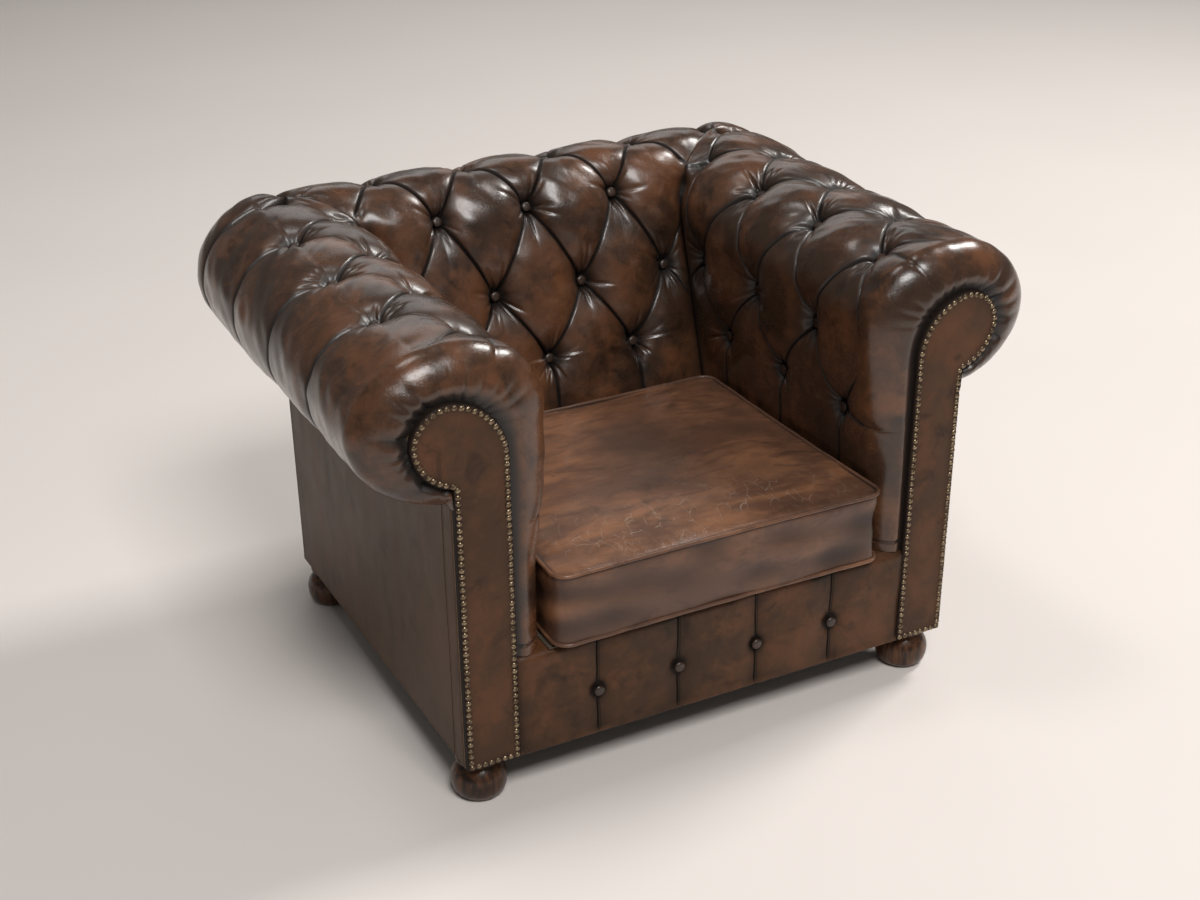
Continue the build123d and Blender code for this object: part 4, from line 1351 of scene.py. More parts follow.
@dataclass
class Back(Padding):
    """Padded, buttoned back with the two corners it turns to meet the arms."""

    work: Buttoning = field(default_factory=lambda: Buttoning(BACK, 12))
    seat_shares: tuple[float, ...] = (0.9, 1.0, 1.0, 0.6)
    pitch: float = 169.0
    odd_buttons: tuple[float, ...] = (-1.0, 0.0, 1.0)
    even_buttons: tuple[float, ...] = (-1.5, -0.5, 0.5, 1.5)
    corner_row: int = 3
    corner_buttons: tuple[float, ...] = (-1.96, 1.96)
    corner_steps: int = 48
    corner_start: float = 3.75
    ledge_radius: float = 20.3
    wall_depth: float = 52.0
    wall_height: float = 336.0

    def side_at(self, station: np.ndarray) -> np.ndarray:
        """Side of a station, spread beyond the last buttons to reach the corner's fold."""
        half = self.pitch / 2
        away, last = np.abs(station - 1), 3 * half
        spread = np.sign(station - 1) * (last + (away - 3) * (ROLL_SIDE - last) / 2)
        return np.where(away > 3, spread, (station - 1) * half)

    def seats(self) -> list[Seat]:
        """Foot and outward direction of each button."""
        found = []
        for row, seam in enumerate(self.seat_shares, 1):
            shares = self.odd_buttons if row % 2 else self.even_buttons
            if row == self.corner_row:
                shares += self.corner_buttons
            out, up, across, high = BACK.button(row, seam, BACK.rise, self.button_sink)
            found += [(np.array([share * self.pitch, out, up]), np.array([0, across, high]))
                      for share in shares]
        return found

    def leather(self, row: np.ndarray, station: np.ndarray,
                turn: np.ndarray | None = None) -> tuple[np.ndarray, np.ndarray]:
        """Leather of the back, or of a corner where a turn is given.

        Args:
            row: row of each point.
            station: station of each point.
            turn: angle about the corner's upright middle line.

        Returns:
            Points and their painted shade.
        """
        lift, painted_shade = self.work.lift(row, station, np.ones_like(row))
        rise = np.full_like(row, BACK.rise)
        near = shade = np.zeros_like(row)
        side = self.side_at(station)
        if turn is None:
            out, up, across, _ = BACK.section(row, np.full_like(row, MITRE.valley), rise)
            meeting = MITRE.lift(up, across, BACK.steepness(row, rise), math.tan(MITRE.turn()))
            out, up = BACK.section(row, meeting, rise)[:2]
            join = MITRE.behind(side, out, up)
            near = MITRE.near(join, up) * (out < BACK.centre)
            shade = MITRE.shade(join, up) * (out < BACK.centre)
            lift = lift + (meeting - lift) * near
        out, up, across, high = BACK.section(row, lift, rise)
        if turn is None:
            points = np.stack([side, out, up], -1)
            ways = np.stack([np.zeros_like(out), across, high], -1)
        else:
            reach = np.maximum(out - BACK.centre, 0)
            side, depth = ROLL_SIDE + reach * np.cos(turn), ROLL_DEPTH + reach * np.sin(turn)
            points = np.stack([side, depth, up], -1)
            ways = np.stack([across * np.cos(turn), across * np.sin(turn), high], -1)
        flip = np.array([-1, 1, 1])
        seats = self.pulls()
        for foot, way in MITRE.seats()[1:]:
            seats += [(foot, way), (foot * flip, way * flip)]
        pull, dark = self.work.near_buttons(points, seats, np.array([1.0, 0, 0]))
        sink = (pull - self.waves(points, 7, 8)) * (1 - near)
        # Painted shade of the seams, the wells and the joint with the arms
        dark = np.maximum.reduce([painted_shade, dark, shade])
        return points - ways * sink[..., None], np.clip(dark, 0, 1)

    def corner(self, rows: np.ndarray) -> tuple[np.ndarray, np.ndarray]:
        """Leather of the right corner, down to the ledge under it, and its painted shade."""
        turns = np.linspace(math.pi / 2, 0, self.corner_steps + 1)
        stations = 1 + np.linspace(5, 7, self.corner_steps + 1)
        row, turn = np.meshgrid(rows, turns, indexing="ij")
        points, shade = self.leather(row, np.broadcast_to(stations, row.shape), turn)
        ledge = np.stack([ROLL_SIDE + self.ledge_radius * np.cos(turns),
                          ROLL_DEPTH + self.ledge_radius * np.sin(turns),
                          np.full_like(turns, PANEL_TOP + PANEL_CLEARANCE)], 1)
        # The ledge under the corner gets full painted shade
        shade = np.concatenate([shade, np.ones((1, len(turns)))], 0)
        return np.concatenate([points, ledge[None]], 0), shade

    def mesh(self) -> bpy.types.Object:
        """Builds the closed skin of the back and both corners."""
        rows, steps = self.work.rows(), self.work.steps
        stations = 1 + np.arange(-5 * steps, 5 * steps + 1) / steps
        row, station = np.meshgrid(rows, stations, indexing="ij")
        points, dark = self.leather(row, station)
        sides = points[-1, :, 0]
        top = PANEL_TOP + PANEL_CLEARANCE
        low = float(points[0, :, 1].mean()) + self.wall_depth
        leant = low + self.wall_height * math.tan(math.radians(BACK.lean))
        rim = [np.stack([sides, np.full_like(sides, depth), np.full_like(sides, height)], 1)
               for depth, height in ((BACK.limit, top), (leant, top), (low, BACK.foot))]
        whole, dark, faces = self.closed(row, station, points, dark, rim)
        vertices, shades = [whole.reshape(-1, 3)], [dark.ravel()]
        base = whole.shape[0] * whole.shape[1]
        bend, shade = self.corner(rows[rows >= self.corner_start - 1e-9])
        for sign in (1, -1):
            vertices.append((bend * np.array([sign, 1, 1])).reshape(-1, 3))
            shades.append(shade.ravel())
            faces += (grid_faces(*shade.shape) + base).tolist()
            base += shade.size
        piece = new_object("back", to_row(np.concatenate(vertices)), faces)
        set_attribute(piece, "painted_shade", np.concatenate(shades))

        def away(centre: Vector) -> bool:
            """Whether a point of the straight part lies beyond or in front of a joint."""
            side, depth, height = from_row(centre)
            if side > ROLL_SIDE:
                return depth < ROLL_DEPTH
            return bool(MITRE.behind(side, depth, height) < 0)

        clip_to(piece, MITRE.planes(1) + MITRE.planes(-1), away)
        settle_normals(piece, 60)
        return piece

    def make(self) -> None:
        """Builds and dresses the back and its buttons."""
        piece = self.mesh()
        dress(piece, PADDED, Body.CHAIR, "padded_leather", "back_upholstery")
        Buttons("back_covered_buttons").make(self.seats(), "back_buttons")


@dataclass
class FrontBorder:
    """Padded front border under the cushion: rolled top edge, four buttons and their pleats."""

    half_width: float = 348.7
    bottom: float = BASE_BOTTOM
    top: float = 250.0
    roll: float = 13.0
    flap: float = 55.0
    thickness: float = 11.7
    pleats: tuple[float, ...] = (-213.0, -71.0, 71.0, 213.0)
    pleat_width: float = 3.6
    pleat_depth: float = 3.4
    button_height: float = 152.0
    button_sink: float = 4.0
    deepest: float = 8.0
    puff: float = 6.0
    wide_step: float = 3.6
    fine_step: float = 0.7
    end_step: float = 0.9
    least_step: float = 0.35
    fold: float = 3.0

    def sides(self) -> np.ndarray:
        """Sides of the mesh's columns, close together at the pleats and the ends."""
        plain = np.arange(-self.half_width, self.half_width, self.wide_step)
        close = [p + np.arange(-14, 14.1, self.fine_step) for p in self.pleats]
        ends = [sign * (self.half_width - np.arange(0, 9, self.end_step)) for sign in (-1, 1)]
        every = np.unique(np.round(np.concatenate([plain, *close, *ends]), 2))
        return every[np.concatenate([[True], np.diff(every) > self.least_step])]

    def profile(self) -> tuple[np.ndarray, np.ndarray]:
        """Depth and height along the section from the bottom's rear edge over the top to the flap."""
        fold, shoulder = self.fold, self.top - self.roll
        under = [(self.thickness, self.bottom), (7.0, self.bottom), (fold, self.bottom + 0.1)]
        corner = [(fold - fold * math.sin(t), self.bottom + fold - fold * math.cos(t))
                  for t in np.linspace(0.2, math.pi / 2, 5)]
        front = [(0.0, h) for h in np.arange(self.bottom + 5, shoulder, 2.4)]
        bend = [(self.roll - self.roll * math.cos(t), shoulder + self.roll * math.sin(t))
                for t in np.linspace(0, math.pi / 2, 12)]
        flap = [(d, self.top) for d in np.linspace(self.roll + 4, self.flap, 10)]
        points = np.array(under + corner + front + bend + flap)
        run = np.gradient(points, axis=0)
        run /= np.linalg.norm(run, axis=1)[:, None]
        return points, np.stack([-run[:, 1], run[:, 0]], 1)

    def relief(self, place: np.ndarray) -> tuple[np.ndarray, np.ndarray]:
        """How far the leather stands out at each point, and its painted shade."""
        side, depth, height = np.moveaxis(place, -1, 0)
        gaps = [np.abs(side - p) for p in self.pleats]
        gap = np.min(gaps, axis=0)
        signed = side - np.array(self.pleats)[np.argmin(gaps, axis=0)]
        shown = smooth(height, self.bottom - 2, self.bottom + 14) * smooth(-depth, -38, -8)
        away = np.hypot(gap, height - self.button_height)
        half = self.pleat_width / 2
        crease = bell(signed + half, 1.0) * self.pleat_depth
        crease += bell(signed - half, 0.8) * 0.9
        crease *= smooth(away, 4, 10)
        end = self.half_width - np.abs(side)
        bow = self.puff * bell(gap, 22.0, 1.3) + 4.0 * bell(end, 6.0, 1.6)
        well = 6.0 * bell(away, 11.0, 2.4) + 2.6 * bell(away, 24.0)
        turn = np.arctan2(height - self.button_height, signed)
        pucker = 0.5 * np.sin(turn * 9 + side * 0.01) * bell(away - 19, 9)
        wave = 0.9 * field_noise(place, 21, 150.0) + 0.28 * field_noise(place, 22, 40.0)
        lift = (wave - bow * 0.8 - well - pucker - crease) * shown
        # Painted shade towards the pleats, the ends and the bottom, and in the creases and button wells
        painted_edge_shade = 0.45 * np.exp(-gap / 22) + 0.5 * np.exp(-end / 14)
        painted_edge_shade = painted_edge_shade + 0.4 * np.exp(-(height - self.bottom) / 16)
        painted_shade = (crease / 3.0 + bell(away, 13) + painted_edge_shade) * shown
        return np.maximum(lift, -self.deepest), np.clip(painted_shade, 0, 1)

    def make(self) -> None:
        """Builds the border's leather and its buttons."""
        sides = self.sides()
        points, ways = self.profile()
        side = np.broadcast_to(sides, (len(points), len(sides)))
        depth, height, way_depth, way_height = (
            np.broadcast_to(values[:, None], side.shape) for values in (*points.T, *ways.T))
        lift, painted_shade = self.relief(np.stack([side, depth, height], -1))
        place = np.stack([side, depth + way_depth * lift, height + way_height * lift], -1)
        inner = self.top - self.thickness
        rim = [np.stack([sides, np.full_like(sides, depth), np.full_like(sides, inner)], -1)
               for depth in (self.flap, self.thickness)]
        place = np.concatenate([place, np.array(rim)], 0)
        painted_shade = np.concatenate([painted_shade, np.ones((len(rim), len(sides)))], 0)
        count = place.shape[0]
        faces = grid_faces(count, len(sides), wrap=True).tolist()
        faces.append([r * len(sides) for r in range(count)][::-1])
        faces.append([r * len(sides) + len(sides) - 1 for r in range(count)])
        piece = new_object("front_border_leather", to_row(place.reshape(-1, 3)), faces)
        set_attribute(piece, "painted_shade", painted_shade)
        settle_normals(piece, 60)
        dress(piece, BORDER, Body.CHAIR, "dark_leather", "front_border")
        seats = [(np.array([p, self.button_sink, self.button_height]), np.array([0.0, -1.0, 0.0]))
                 for p in self.pleats]
        Buttons("border_covered_buttons").make(seats, "border_buttons")


@dataclass
class OutsidePanel:
    """Leather stretched over an outside panel, with rounded edges and one upright seam."""

    name: str
    slot_node: str
    width: float
    centre: tuple[float, float]
    turn: float
    bottom: float = BASE_BOTTOM
    top: float = PANEL_TOP
    thickness: float = 6.0
    seam: float | None = None
    seed: int = 1
    edge: float = 2.2
    proud: float = 0.9

    def make(self) -> None:
        """Builds the panel as a bowed board."""
        half = self.width / 2
        across = np.concatenate([[-half, -half + 0.8, -half + self.edge],
                                 np.arange(-half + 5, half - 4, 5.0),
                                 [half - self.edge, half - 0.8, half]])
        if self.seam is not None:
            across = np.unique(np.concatenate([across, self.seam + np.arange(-7, 7.1, 0.7)]))
        up = np.concatenate([[self.bottom, self.bottom + 0.8, self.bottom + self.edge],
                             np.arange(self.bottom + 5, self.top - 3, 6.0), [self.top]])
        run, rise = np.meshgrid(across, up, indexing="ij")
        edge = np.minimum(half - np.abs(run), rise - self.bottom)
        inwards = 1 - np.clip(edge, 0, self.edge) / self.edge
        round_off = self.edge * (1 - np.sqrt(np.clip(1 - inwards**2, 0, 1)))
        place = np.stack([run, np.zeros_like(run), rise], -1)
        wave = (0.8 * field_noise(place, self.seed, 260.0)
                + 0.25 * field_noise(place, self.seed + 1, 80.0))
        proud = self.proud + wave * smooth(edge, 0, 60) * 0.8 - round_off
        # Painted shade towards the rounded edges; the seam below is darker along its line
        painted_shade = 0.4 * np.exp(-edge / 5)
        if self.seam is not None:
            line = run - self.seam
            proud -= 1.6 * bell(line, 1.2) - 0.5 * bell(line - 3.2, 2.4)
            painted_shade = np.maximum(painted_shade, 0.9 * bell(line, 1.6))
        front = np.stack([run, -proud, rise], -1)
        rear = np.stack([run, np.full_like(run, self.thickness), rise], -1)
        points = np.concatenate([front.reshape(-1, 3), rear.reshape(-1, 3)])
        turn = Matrix.Rotation(self.turn, 3, "Z")
        points = points @ np.array(turn).T + np.array([*self.centre, 0])
        piece = new_object(self.name, to_row(points), slab_faces(*run.shape))
        set_attribute(piece, "painted_shade", np.concatenate([painted_shade.ravel(), np.ones(painted_shade.size)]))
        settle_normals(piece, 50)
        dress(piece, PLAIN, Body.CHAIR, "dark_leather", self.slot_node)


@dataclass
class Deck:
    """Padded deck under the cushion."""

    half_width: float = 296.0
    front: float = 3.0
    rear: float = 525.0
    bottom: float = 250.4
    top: float = 255.6
    seam_depth: float = 90.0

    def make(self) -> None:
        """Builds the deck as a thin pad with rounded edges and one crosswise seam."""
        across = np.linspace(-self.half_width, self.half_width, 90)
        along = np.linspace(self.front, self.rear, 80)
        side, depth = np.meshgrid(across, along, indexing="ij")
        edge = np.minimum(depth - self.front, self.rear - depth)
        edge = np.minimum(self.half_width - np.abs(side), edge)
        sag = 0.5 * field_noise(np.stack([side, depth, np.zeros_like(side)], -1), 71, 140.0)
        seam = bell(depth - self.seam_depth, 1.6)
        height = self.top - 0.6 + sag * 0.6 * smooth(edge, 0, 30)
        height = height - 2.6 * np.exp(-edge / 2.5) - 1.5 * seam
        upper = np.stack([side, depth, height], -1).reshape(-1, 3)
        lower = np.stack([side, depth, np.full_like(side, self.bottom)], -1).reshape(-1, 3)
        points = to_row(np.concatenate([upper, lower]))
        piece = new_object("deck_cover", points, slab_faces(*side.shape))
        settle_normals(piece, 50)
        dress(piece, HESSIAN, Body.CHAIR, "stuffing", "deck_pad")


@dataclass
class Cushion:
    """Loose box cushion: crowned top, drawn-in boxing and a piped seam round each face."""

    half_width: float = 288.0
    front: float = -16.0
    rear: float = 522.0
    bottom: float = 256.4
    seam_height: float = 377.1
    corner: float = 26.0
    corner_steps: int = 24
    outline_steps: int = 4000
    crown: float = 17.85
    crown_power: float = 0.7
    draw: float = 4.0
    spacing: float = 7.0
    levels: int = 16
    pressure: float = 4.0
    cloth_steps: int = 20
    cap: float = 0.016
    near_steps: int = 1200
    piping_radius: float = 3.4
    piping_grow: float = 1.6
    piping_steps: int = 620
    piping_sides: int = 10

    def outline(self, count: int, grow: float = 0.0) -> np.ndarray:
        """Rounded outline of a face by side and depth, evenly spaced."""
        middle = (self.front + self.rear) / 2
        half_length = (self.rear - self.front) / 2
        radius = self.corner + grow
        wide, long = self.half_width + grow - radius, half_length + grow - radius
        points = []
        for quarter, (across, along) in enumerate(((1, 1), (-1, 1), (-1, -1), (1, -1))):
            turns = math.pi / 2 * (quarter + np.arange(self.corner_steps + 1) / self.corner_steps)
            points.append(np.stack([across * wide + radius * np.cos(turns),
                                    along * long + radius * np.sin(turns)], 1))
        line = np.concatenate(points)
        line = np.concatenate([line, line[:1]])
        run = run_along(line)
        places = np.arange(count) / count * run[-1]
        side, depth = np.interp(places, run, line[:, 0]), np.interp(places, run, line[:, 1])
        pull_side = self.draw * (1 - (depth / half_length) ** 2) * np.abs(side / self.half_width) ** 6
        pull_depth = self.draw * (1 - (side / self.half_width) ** 2) * np.abs(depth / half_length) ** 6
        side = side - np.sign(side) * pull_side
        depth = depth - np.sign(depth) * pull_depth
        return np.stack([side, depth + middle], 1)

    def sheet(self, columns: int, rows: int) -> np.ndarray:
        """Side and depth of an even grid that fills the outline."""
        fine = self.outline(self.outline_steps)
        corners = [int(np.argmax(fine @ np.array(way))) for way in ((-1, -1), (1, -1), (1, 1), (-1, 1))]
        edges = []
        for index, steps in enumerate((columns, rows, columns, rows)):
            first, last = corners[index], corners[(index + 1) % 4]
            if last < first:
                last += self.outline_steps
            picks = np.round(np.linspace(first, last, steps + 1)).astype(int)
            edges.append(fine[picks % self.outline_steps])
        low, right, high, left = edges[0], edges[1], edges[2][::-1], edges[3][::-1]
        u = np.linspace(0, 1, columns + 1)[None, :, None]
        v = np.linspace(0, 1, rows + 1)[:, None, None]
        sheet = (1 - v) * low[None] + v * high[None] + (1 - u) * left[:, None] + u * right[:, None]
        return sheet - ((1 - u) * (1 - v) * low[0] + u * (1 - v) * low[-1]
                        + (1 - u) * v * high[0] + u * v * high[-1])

    def start(self) -> tuple[bpy.types.Object, np.ndarray]:
        """Builds the even mesh that is then blown up, and says which points are held."""
        columns = round(2 * self.half_width / self.spacing)
        rows = round((self.rear - self.front) / self.spacing)
        sheet = self.sheet(columns, rows)
        u, v = np.linspace(-1, 1, columns + 1)[None, :], np.linspace(-1, 1, rows + 1)[:, None]
        dome = ((1 - u**4) * (1 - v**4)) ** self.crown_power
        top = np.concatenate([sheet, (self.seam_height + self.crown * dome)[..., None]], 2)
        under = np.concatenate([sheet, np.full(sheet.shape[:2] + (1,), self.bottom)], 2)
        ring = np.concatenate([np.arange(columns), (np.arange(rows) + 1) * (columns + 1) - 1,
                               rows * (columns + 1) + np.arange(columns, 0, -1),
                               np.arange(rows, 0, -1) * (columns + 1)])
        flat_top, flat_under = top.reshape(-1, 3), under.reshape(-1, 3)
        count = len(flat_top)
        walls, numbers = [], [ring]
        for level in range(1, self.levels):
            share = level / self.levels
            walls.append(flat_top[ring] * (1 - share) + flat_under[ring] * share)
            numbers.append(2 * count + (level - 1) * len(ring) + np.arange(len(ring)))
        numbers.append(ring + count)
        grid = grid_faces(rows + 1, columns + 1)
        faces = grid.tolist() + (grid[:, ::-1] + count).tolist()
        for one, two in zip(numbers, numbers[1:]):
            faces += np.stack([one, np.roll(one, -1), np.roll(two, -1), two], 1)[:, ::-1].tolist()
        points = np.concatenate([flat_top, flat_under, *walls])
        held = np.zeros(len(points))
        held[ring] = held[count:2 * count] = 1
        return new_object("seat_cushion", to_row(points), faces), held

    def inflate(self, piece: bpy.types.Object, held: np.ndarray) -> None:
        """Blows the cushion up with cloth, held at its seams, and limits how far it moves."""
        group = piece.vertex_groups.new(name="held")
        group.add([int(i) for i in np.nonzero(held)[0]], 1.0, "REPLACE")
        before = vertices_of(piece)
        alone(piece)
        cloth = piece.modifiers.new("cloth", "CLOTH")
        settings = cloth.settings
        settings.quality = 5
        settings.mass = 0.4
        settings.tension_stiffness = settings.compression_stiffness = 22.0
        settings.shear_stiffness = 9.0
        settings.bending_stiffness = 1.2
        settings.use_pressure = True
        settings.uniform_pressure_force = self.pressure
        settings.vertex_group_mass = group.name
        settings.pin_stiffness = 1.0
        settings.effector_weights.gravity = 0.0
        cloth.collision_settings.use_collision = False
        for step in range(1, self.cloth_steps + 1):
            bpy.context.scene.frame_set(step)
        bpy.ops.object.modifier_apply(modifier=cloth.name)
        bpy.context.scene.frame_set(1)
        move = vertices_of(piece) - before
        size = np.linalg.norm(move, axis=1)
        LOG.info("cushion moved up to %.1f mm in the cloth", size.max() * 1000)
        move *= (self.cap * np.tanh(size / self.cap) / np.maximum(size, 1e-9))[:, None]
        piece.data.vertices.foreach_set("co", (before + move).ravel())
        piece.vertex_groups.clear()

    def crease(self, piece: bpy.types.Object) -> None:
        """Adds the puckers beside the seams and the soft waves of the leather."""
        points = vertices_of(piece) * 1000
        points[:, 1] += MIDDLE_DEPTH
        normals = np.array([v.normal for v in piece.data.vertices])
        line = self.outline(self.near_steps)
        near = np.array([np.argmin(((line - p) ** 2).sum(1)) for p in points[:, :2]])
        across = np.linalg.norm(line[near] - points[:, :2], axis=1)
        side, depth, height = points.T
        gap = np.where(height > self.seam_height - 1, across, self.seam_height - height)
        along = near * np.linalg.norm(line[1] - line[0])
        bunch = ripple(along, 41, 6, 0.16, 0.42) * (0.5 + 0.5 * ripple(along, 42, 4, 0.01, 0.04))
        pucker = 0.32 * bunch * bell(gap - 12, 11)
        wave = 1.2 * field_noise(points, 43, 230.0) + 0.3 * field_noise(points, 44, 80.0)
        top = smooth(height, self.seam_height, self.seam_height + 14)
        side_wave = 1.5 * field_noise(points * np.array([1, 1, 2.4]), 45, 105.0) * (1 - top)
        sit = 5.0 * np.exp(-((side / 190) ** 2) - (((depth - 240) / 170) ** 2)) * top
        from_corner = np.abs(side) - 250
        fan = np.hypot(from_corner, depth - 20)
        fold = 0.35 * np.sin(np.arctan2(depth - 20, from_corner) * 14)
        fold = fold * bell(fan - 48, 26) * top
        lift = (pucker + wave * (0.4 + 0.6 * top) + side_wave + fold) * smooth(gap, 0, 6) - sit
        points += normals * lift[:, None]
        points[:, 2] = np.maximum(points[:, 2], self.bottom)
        piece.data.vertices.foreach_set("co", to_row(points).ravel())
        seam = np.minimum(gap, np.abs(points[:, 2] - self.bottom) + 2)
        boxing = 1 - smooth(points[:, 2], self.seam_height - 6, self.seam_height + 3)
        # Painted shade at the seams and on the boxing, and lighter where the leather is lifted
        painted_shade = 0.8 * np.exp(-seam / 4.0) + 0.42 * boxing - 0.10 * lift
        set_attribute(piece, "painted_shade", np.clip(painted_shade, 0, 1))
        set_attribute(piece, "worn", top * smooth(-points[:, 1], -190, -40) * smooth(gap, 2, 10))

    def piping(self, name: str, height: float, node: str) -> None:
        """Builds the piping along a seam."""
        count, sides = self.piping_steps, self.piping_sides
        line = self.outline(count, self.piping_grow)
        run = np.roll(line, -1, 0) - np.roll(line, 1, 0)
        run /= np.linalg.norm(run, axis=1)[:, None]
        out = np.stack([run[:, 1], -run[:, 0]], 1)
        turns = np.arange(sides) / sides * 2 * math.pi
        wobble = 0.3 * ripple(np.arange(count) * TAU / count * 40, 61, 5, 0.2, 1.0)
        points = np.zeros((count, sides, 3))
        for index, turn in enumerate(turns):
            points[:, index, :2] = line + out * (self.piping_radius * math.cos(turn))
            points[:, index, 2] = height + self.piping_radius * math.sin(turn) + wobble
        number = np.arange(count * sides).reshape(count, sides)
        one = np.roll(number, -1, 0)
        faces = np.stack([number, one, np.roll(one, -1, 1), np.roll(number, -1, 1)], -1).reshape(-1, 4)
        piece = new_object(name, to_row(points.reshape(-1, 3)), faces.tolist())
        # Painted shade, deeper on the half of the piping turned in towards the cushion's groove
        set_attribute(piece, "painted_shade", np.tile(0.15 + 0.3 * (np.cos(turns) < -0.2), count))
        settle_normals(piece)
        dress(piece, SEAT, Body.CUSHION, "cushion_leather", node)

    def make(self) -> None:
        """Builds the cushion, blows it up, and adds its piping."""
        piece, held = self.start()
        settle_normals(piece)
        self.inflate(piece, held)
        alone(piece)
        smoother = piece.modifiers.new("smooth", "SUBSURF")
        smoother.levels = smoother.render_levels = 1
        bpy.ops.object.modifier_apply(modifier=smoother.name)
        self.crease(piece)
        bpy.ops.object.shade_smooth()
        dress(piece, SEAT, Body.CUSHION, "cushion_leather", "cushion_cover", "cushion_filling")
        self.piping("cushion_upper_piping", self.seam_height + 0.4, "cushion_top_piping")
        self.piping("cushion_lower_piping", self.bottom + 3.9, "cushion_bottom_piping")


@dataclass
class Foot:
    """Turned bun foot."""

    name: str
    side: float
    depth: float
    radius: float = 44.0
    height: float = BASE_BOTTOM
    profile: tuple[tuple[float, float], ...] = (
        (0.62, 0.0), (0.72, 0.012), (0.84, 0.06), (0.93, 0.14), (0.985, 0.25), (1.0, 0.36),
        (0.985, 0.47), (0.93, 0.57), (0.84, 0.66), (0.74, 0.725), (0.685, 0.755), (0.675, 0.775),
        (0.70, 0.795), (0.77, 0.81), (0.80, 0.835), (0.81, 0.865), (0.80, 0.895), (0.76, 0.92),
        (0.70, 0.935), (0.68, 0.95), (0.68, 0.999),
    )

    def make(self) -> None:
        """Turns the foot from a circle, ring by ring."""
        bpy.ops.object.select_all(action="DESELECT")
        wide, low = self.profile[0]
        spot = to_row(np.array([self.side, self.depth, self.height * low]))
        bpy.ops.mesh.primitive_circle_add(vertices=64, radius=self.radius * wide / 1000,
                                          fill_type="NGON", location=spot)
        foot = bpy.context.active_object
        foot.name = self.name
        bpy.ops.object.mode_set(mode="EDIT")
        bpy.ops.mesh.select_all(action="SELECT")
        for (before, start), (after, end) in zip(self.profile, self.profile[1:]):
            rise = (end - start) * self.height / 1000
            bpy.ops.mesh.extrude_region_move(TRANSFORM_OT_translate={"value": (0, 0, rise)})
            bpy.ops.transform.resize(value=(after / before, after / before, 1),
                                     center_override=(spot[0], spot[1], spot[2]))
        bpy.ops.object.mode_set(mode="OBJECT")
        bpy.ops.object.transform_apply(location=True, rotation=True, scale=True)
        settle_normals(foot, 50)
        dress(foot, TURNED, Body.CHAIR, "turned_wood", self.name.replace("_bun", "_foot"))


@dataclass(frozen=True)
class Lamp:
    """Soft box that faces the chair, in metres and watts."""

    name: str
    place: tuple[float, float, float]
    size: tuple[float, float]
    power: float
    colour: tuple[float, float, float] = (1.0, 0.99, 0.98)
    aim: tuple[float, float, float] = (0.0, 0.0, 0.4)

    def make(self) -> None:
        """Adds the lamp."""
        data = bpy.data.lights.new(self.name, "AREA")
        data.shape = "RECTANGLE"
        data.size, data.size_y = self.size
        data.energy = self.power
        data.color = self.colour
        lamp = bpy.data.objects.new(self.name, data)
        way = Vector(self.aim) - Vector(self.place)
        turn = way.to_track_quat("-Z", "Y").to_matrix().to_4x4()
        lamp.matrix_world = Matrix.Translation(self.place) @ turn
        bpy.context.scene.collection.objects.link(lamp)


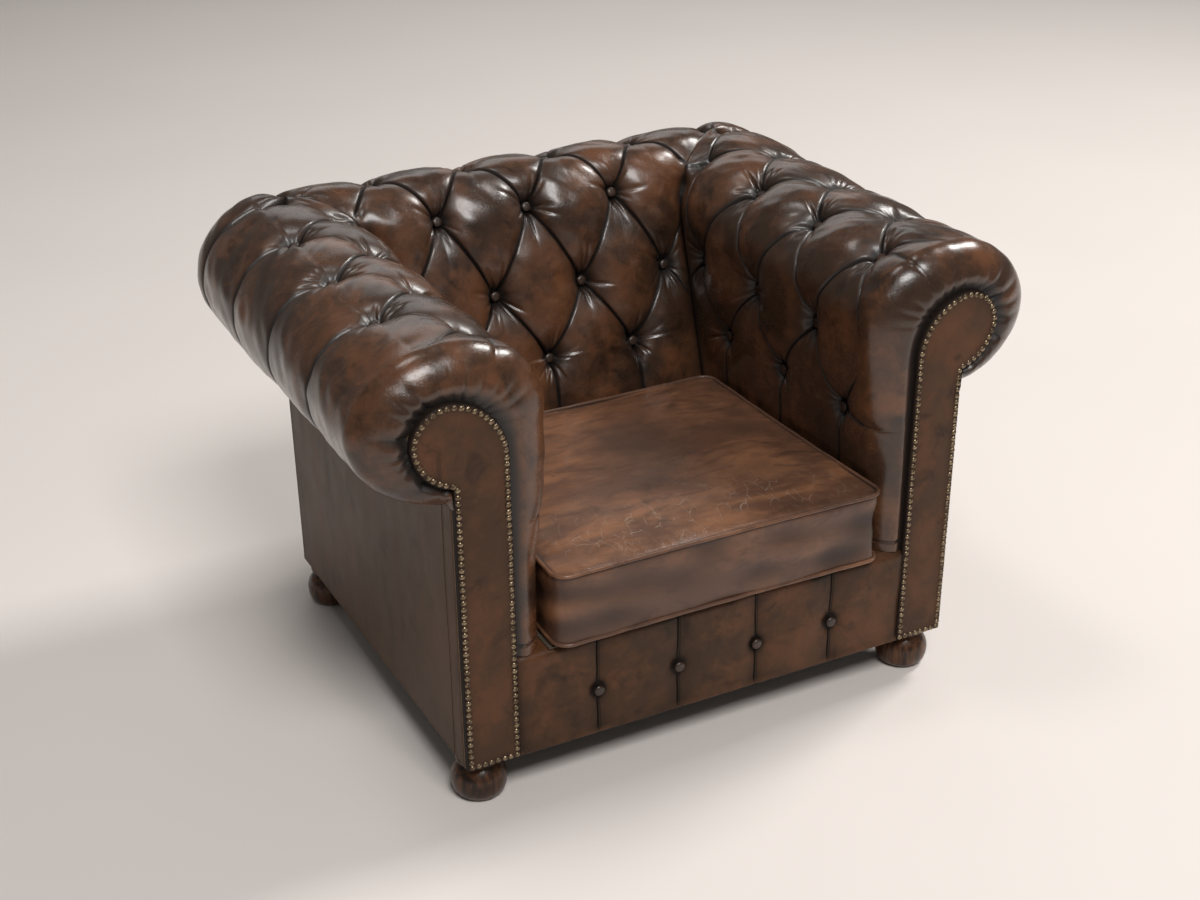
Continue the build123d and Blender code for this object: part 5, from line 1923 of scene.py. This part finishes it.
@dataclass
class Studio:
    """Floor, soft boxes, world and the photograph's camera."""

    place: tuple[float, float, float] = (-1.24632, -2.42859, 1.64736)
    yaw: float = 0.4513425850666687
    pitch: float = 0.46548599601828317
    roll: float = -0.02256648063862109
    lens: float = 52.338
    sensor: float = 36.0
    shift: tuple[float, float] = (0.03644, 0.02368)
    far: float = 60.0
    surrounding: tuple[float, float, float, float] = (1.0, 0.97, 0.93, 1.0)
    surrounding_level: float = 0.14
    lamps: tuple[Lamp, ...] = (
        Lamp("key", (4.6, 0.5, 5.2), (1.6, 1.6), 265.0, (1.0, 0.98, 0.95)),
        Lamp("top", (-1.2, 1.2, 6.6), (1.5, 1.4), 60.0, (1.0, 0.99, 0.97)),
        Lamp("front", (-0.7, -4.2, 5.6), (2.5, 1.9), 280.0),
        Lamp("rear", (2.4, 5.9, 3.6), (4.6, 3.0), 38.0),
    )

    def camera(self) -> None:
        """Sets the camera by its three turns."""
        data = bpy.data.cameras.new("camera")
        data.lens = self.lens
        data.sensor_width = self.sensor
        data.shift_x, data.shift_y = self.shift
        data.clip_end = self.far
        ahead = Vector((math.sin(self.yaw) * math.cos(self.pitch),
                        math.cos(self.yaw) * math.cos(self.pitch), -math.sin(self.pitch)))
        right = Vector((math.cos(self.yaw), -math.sin(self.yaw), 0))
        above = right.cross(ahead)
        across = right * math.cos(self.roll) + above * math.sin(self.roll)
        upwards = above * math.cos(self.roll) - right * math.sin(self.roll)
        turn = Matrix((across, upwards, -ahead)).transposed().to_4x4()
        camera = bpy.data.objects.new("camera", data)
        camera.matrix_world = Matrix.Translation(self.place) @ turn
        bpy.context.scene.collection.objects.link(camera)
        bpy.context.scene.camera = camera

    def floor(self) -> None:
        """Adds the plain floor."""
        bpy.ops.mesh.primitive_plane_add(size=self.far, location=(0, 0, 0))
        floor = bpy.context.active_object
        floor.name = "floor"
        floor.data.materials.append(Ground("studio floor").material())

    def world(self) -> None:
        """Sets a pale, even surrounding."""
        world = bpy.data.worlds.new("studio")
        world.use_nodes = True
        sockets = world.node_tree.nodes["Background"].inputs
        sockets[0].default_value = self.surrounding
        sockets[1].default_value = self.surrounding_level
        bpy.context.scene.world = world

    def make(self) -> None:
        """Builds the studio."""
        self.camera()
        self.floor()
        self.world()
        for lamp in self.lamps:
            lamp.make()
        bpy.context.scene.view_settings.view_transform = "Standard"


def carried_over() -> None:
    """Gives each CAD node that stays in view its material."""
    groups = {
        BEECH: ("post", "rail", "board", "corner_blocks"),
        CALICO: ("lining",),
        JUTE: ("webbing", "seat_platform"),
        BLACK_CLOTH: ("dust_cover",),
        PLATED: ("foot_bolts",),
        TURNED: ("foot",),
        NAIL: ("nail_row",),
        PADDED: ("arm_upholstery", "back_upholstery", "buttons"),
        FACED: ("arm_facing", "front_border"),
        SEAT: ("cushion", "deck_pad"),
        PLAIN: ("outside",),
    }
    for name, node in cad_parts.items():
        finish = next((f for f, words in groups.items() if any(w in name for w in words)), CALICO)
        node.data.materials.clear()
        node.data.materials.append(finish.material())


def outside() -> None:
    """Builds the leather of the three outside panels."""
    length, middle, seam = 732.6, 378.6, 330.0
    for hand in Hand:
        word, sign = hand.word, hand.value
        OutsidePanel(
            f"{word}_outside_leather", f"{word}_outside_arm_panel", width=length,
            centre=(sign * BASE_SIDE, middle), turn=sign * math.pi / 2, seam=-sign * seam,
            seed=80 + sign,
        ).make()
    OutsidePanel(
        "outside_back_leather", "outside_back_panel", width=2 * BASE_SIDE,
        centre=(0.0, BASE_REAR), turn=math.pi, seed=91,
    ).make()


def main() -> None:
    """Builds the chair's pieces in order, then the studio."""
    logging.basicConfig(level=logging.INFO, format="%(message)s")
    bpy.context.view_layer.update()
    carried_over()
    bpy.ops.object.select_all(action="DESELECT")
    for hand in Hand:
        Facing(hand).make()
        Arm(hand=hand).make()
    Back().make()
    FrontBorder().make()
    outside()
    Deck().make()
    Cushion().make()
    for end, depth in FEET_DEPTHS.items():
        for hand in Hand:
            Foot(f"{end}_{hand.word}_bun", hand.value * FEET_SIDE, depth).make()
    Studio().make()


if __name__ == "__main__":
    main()
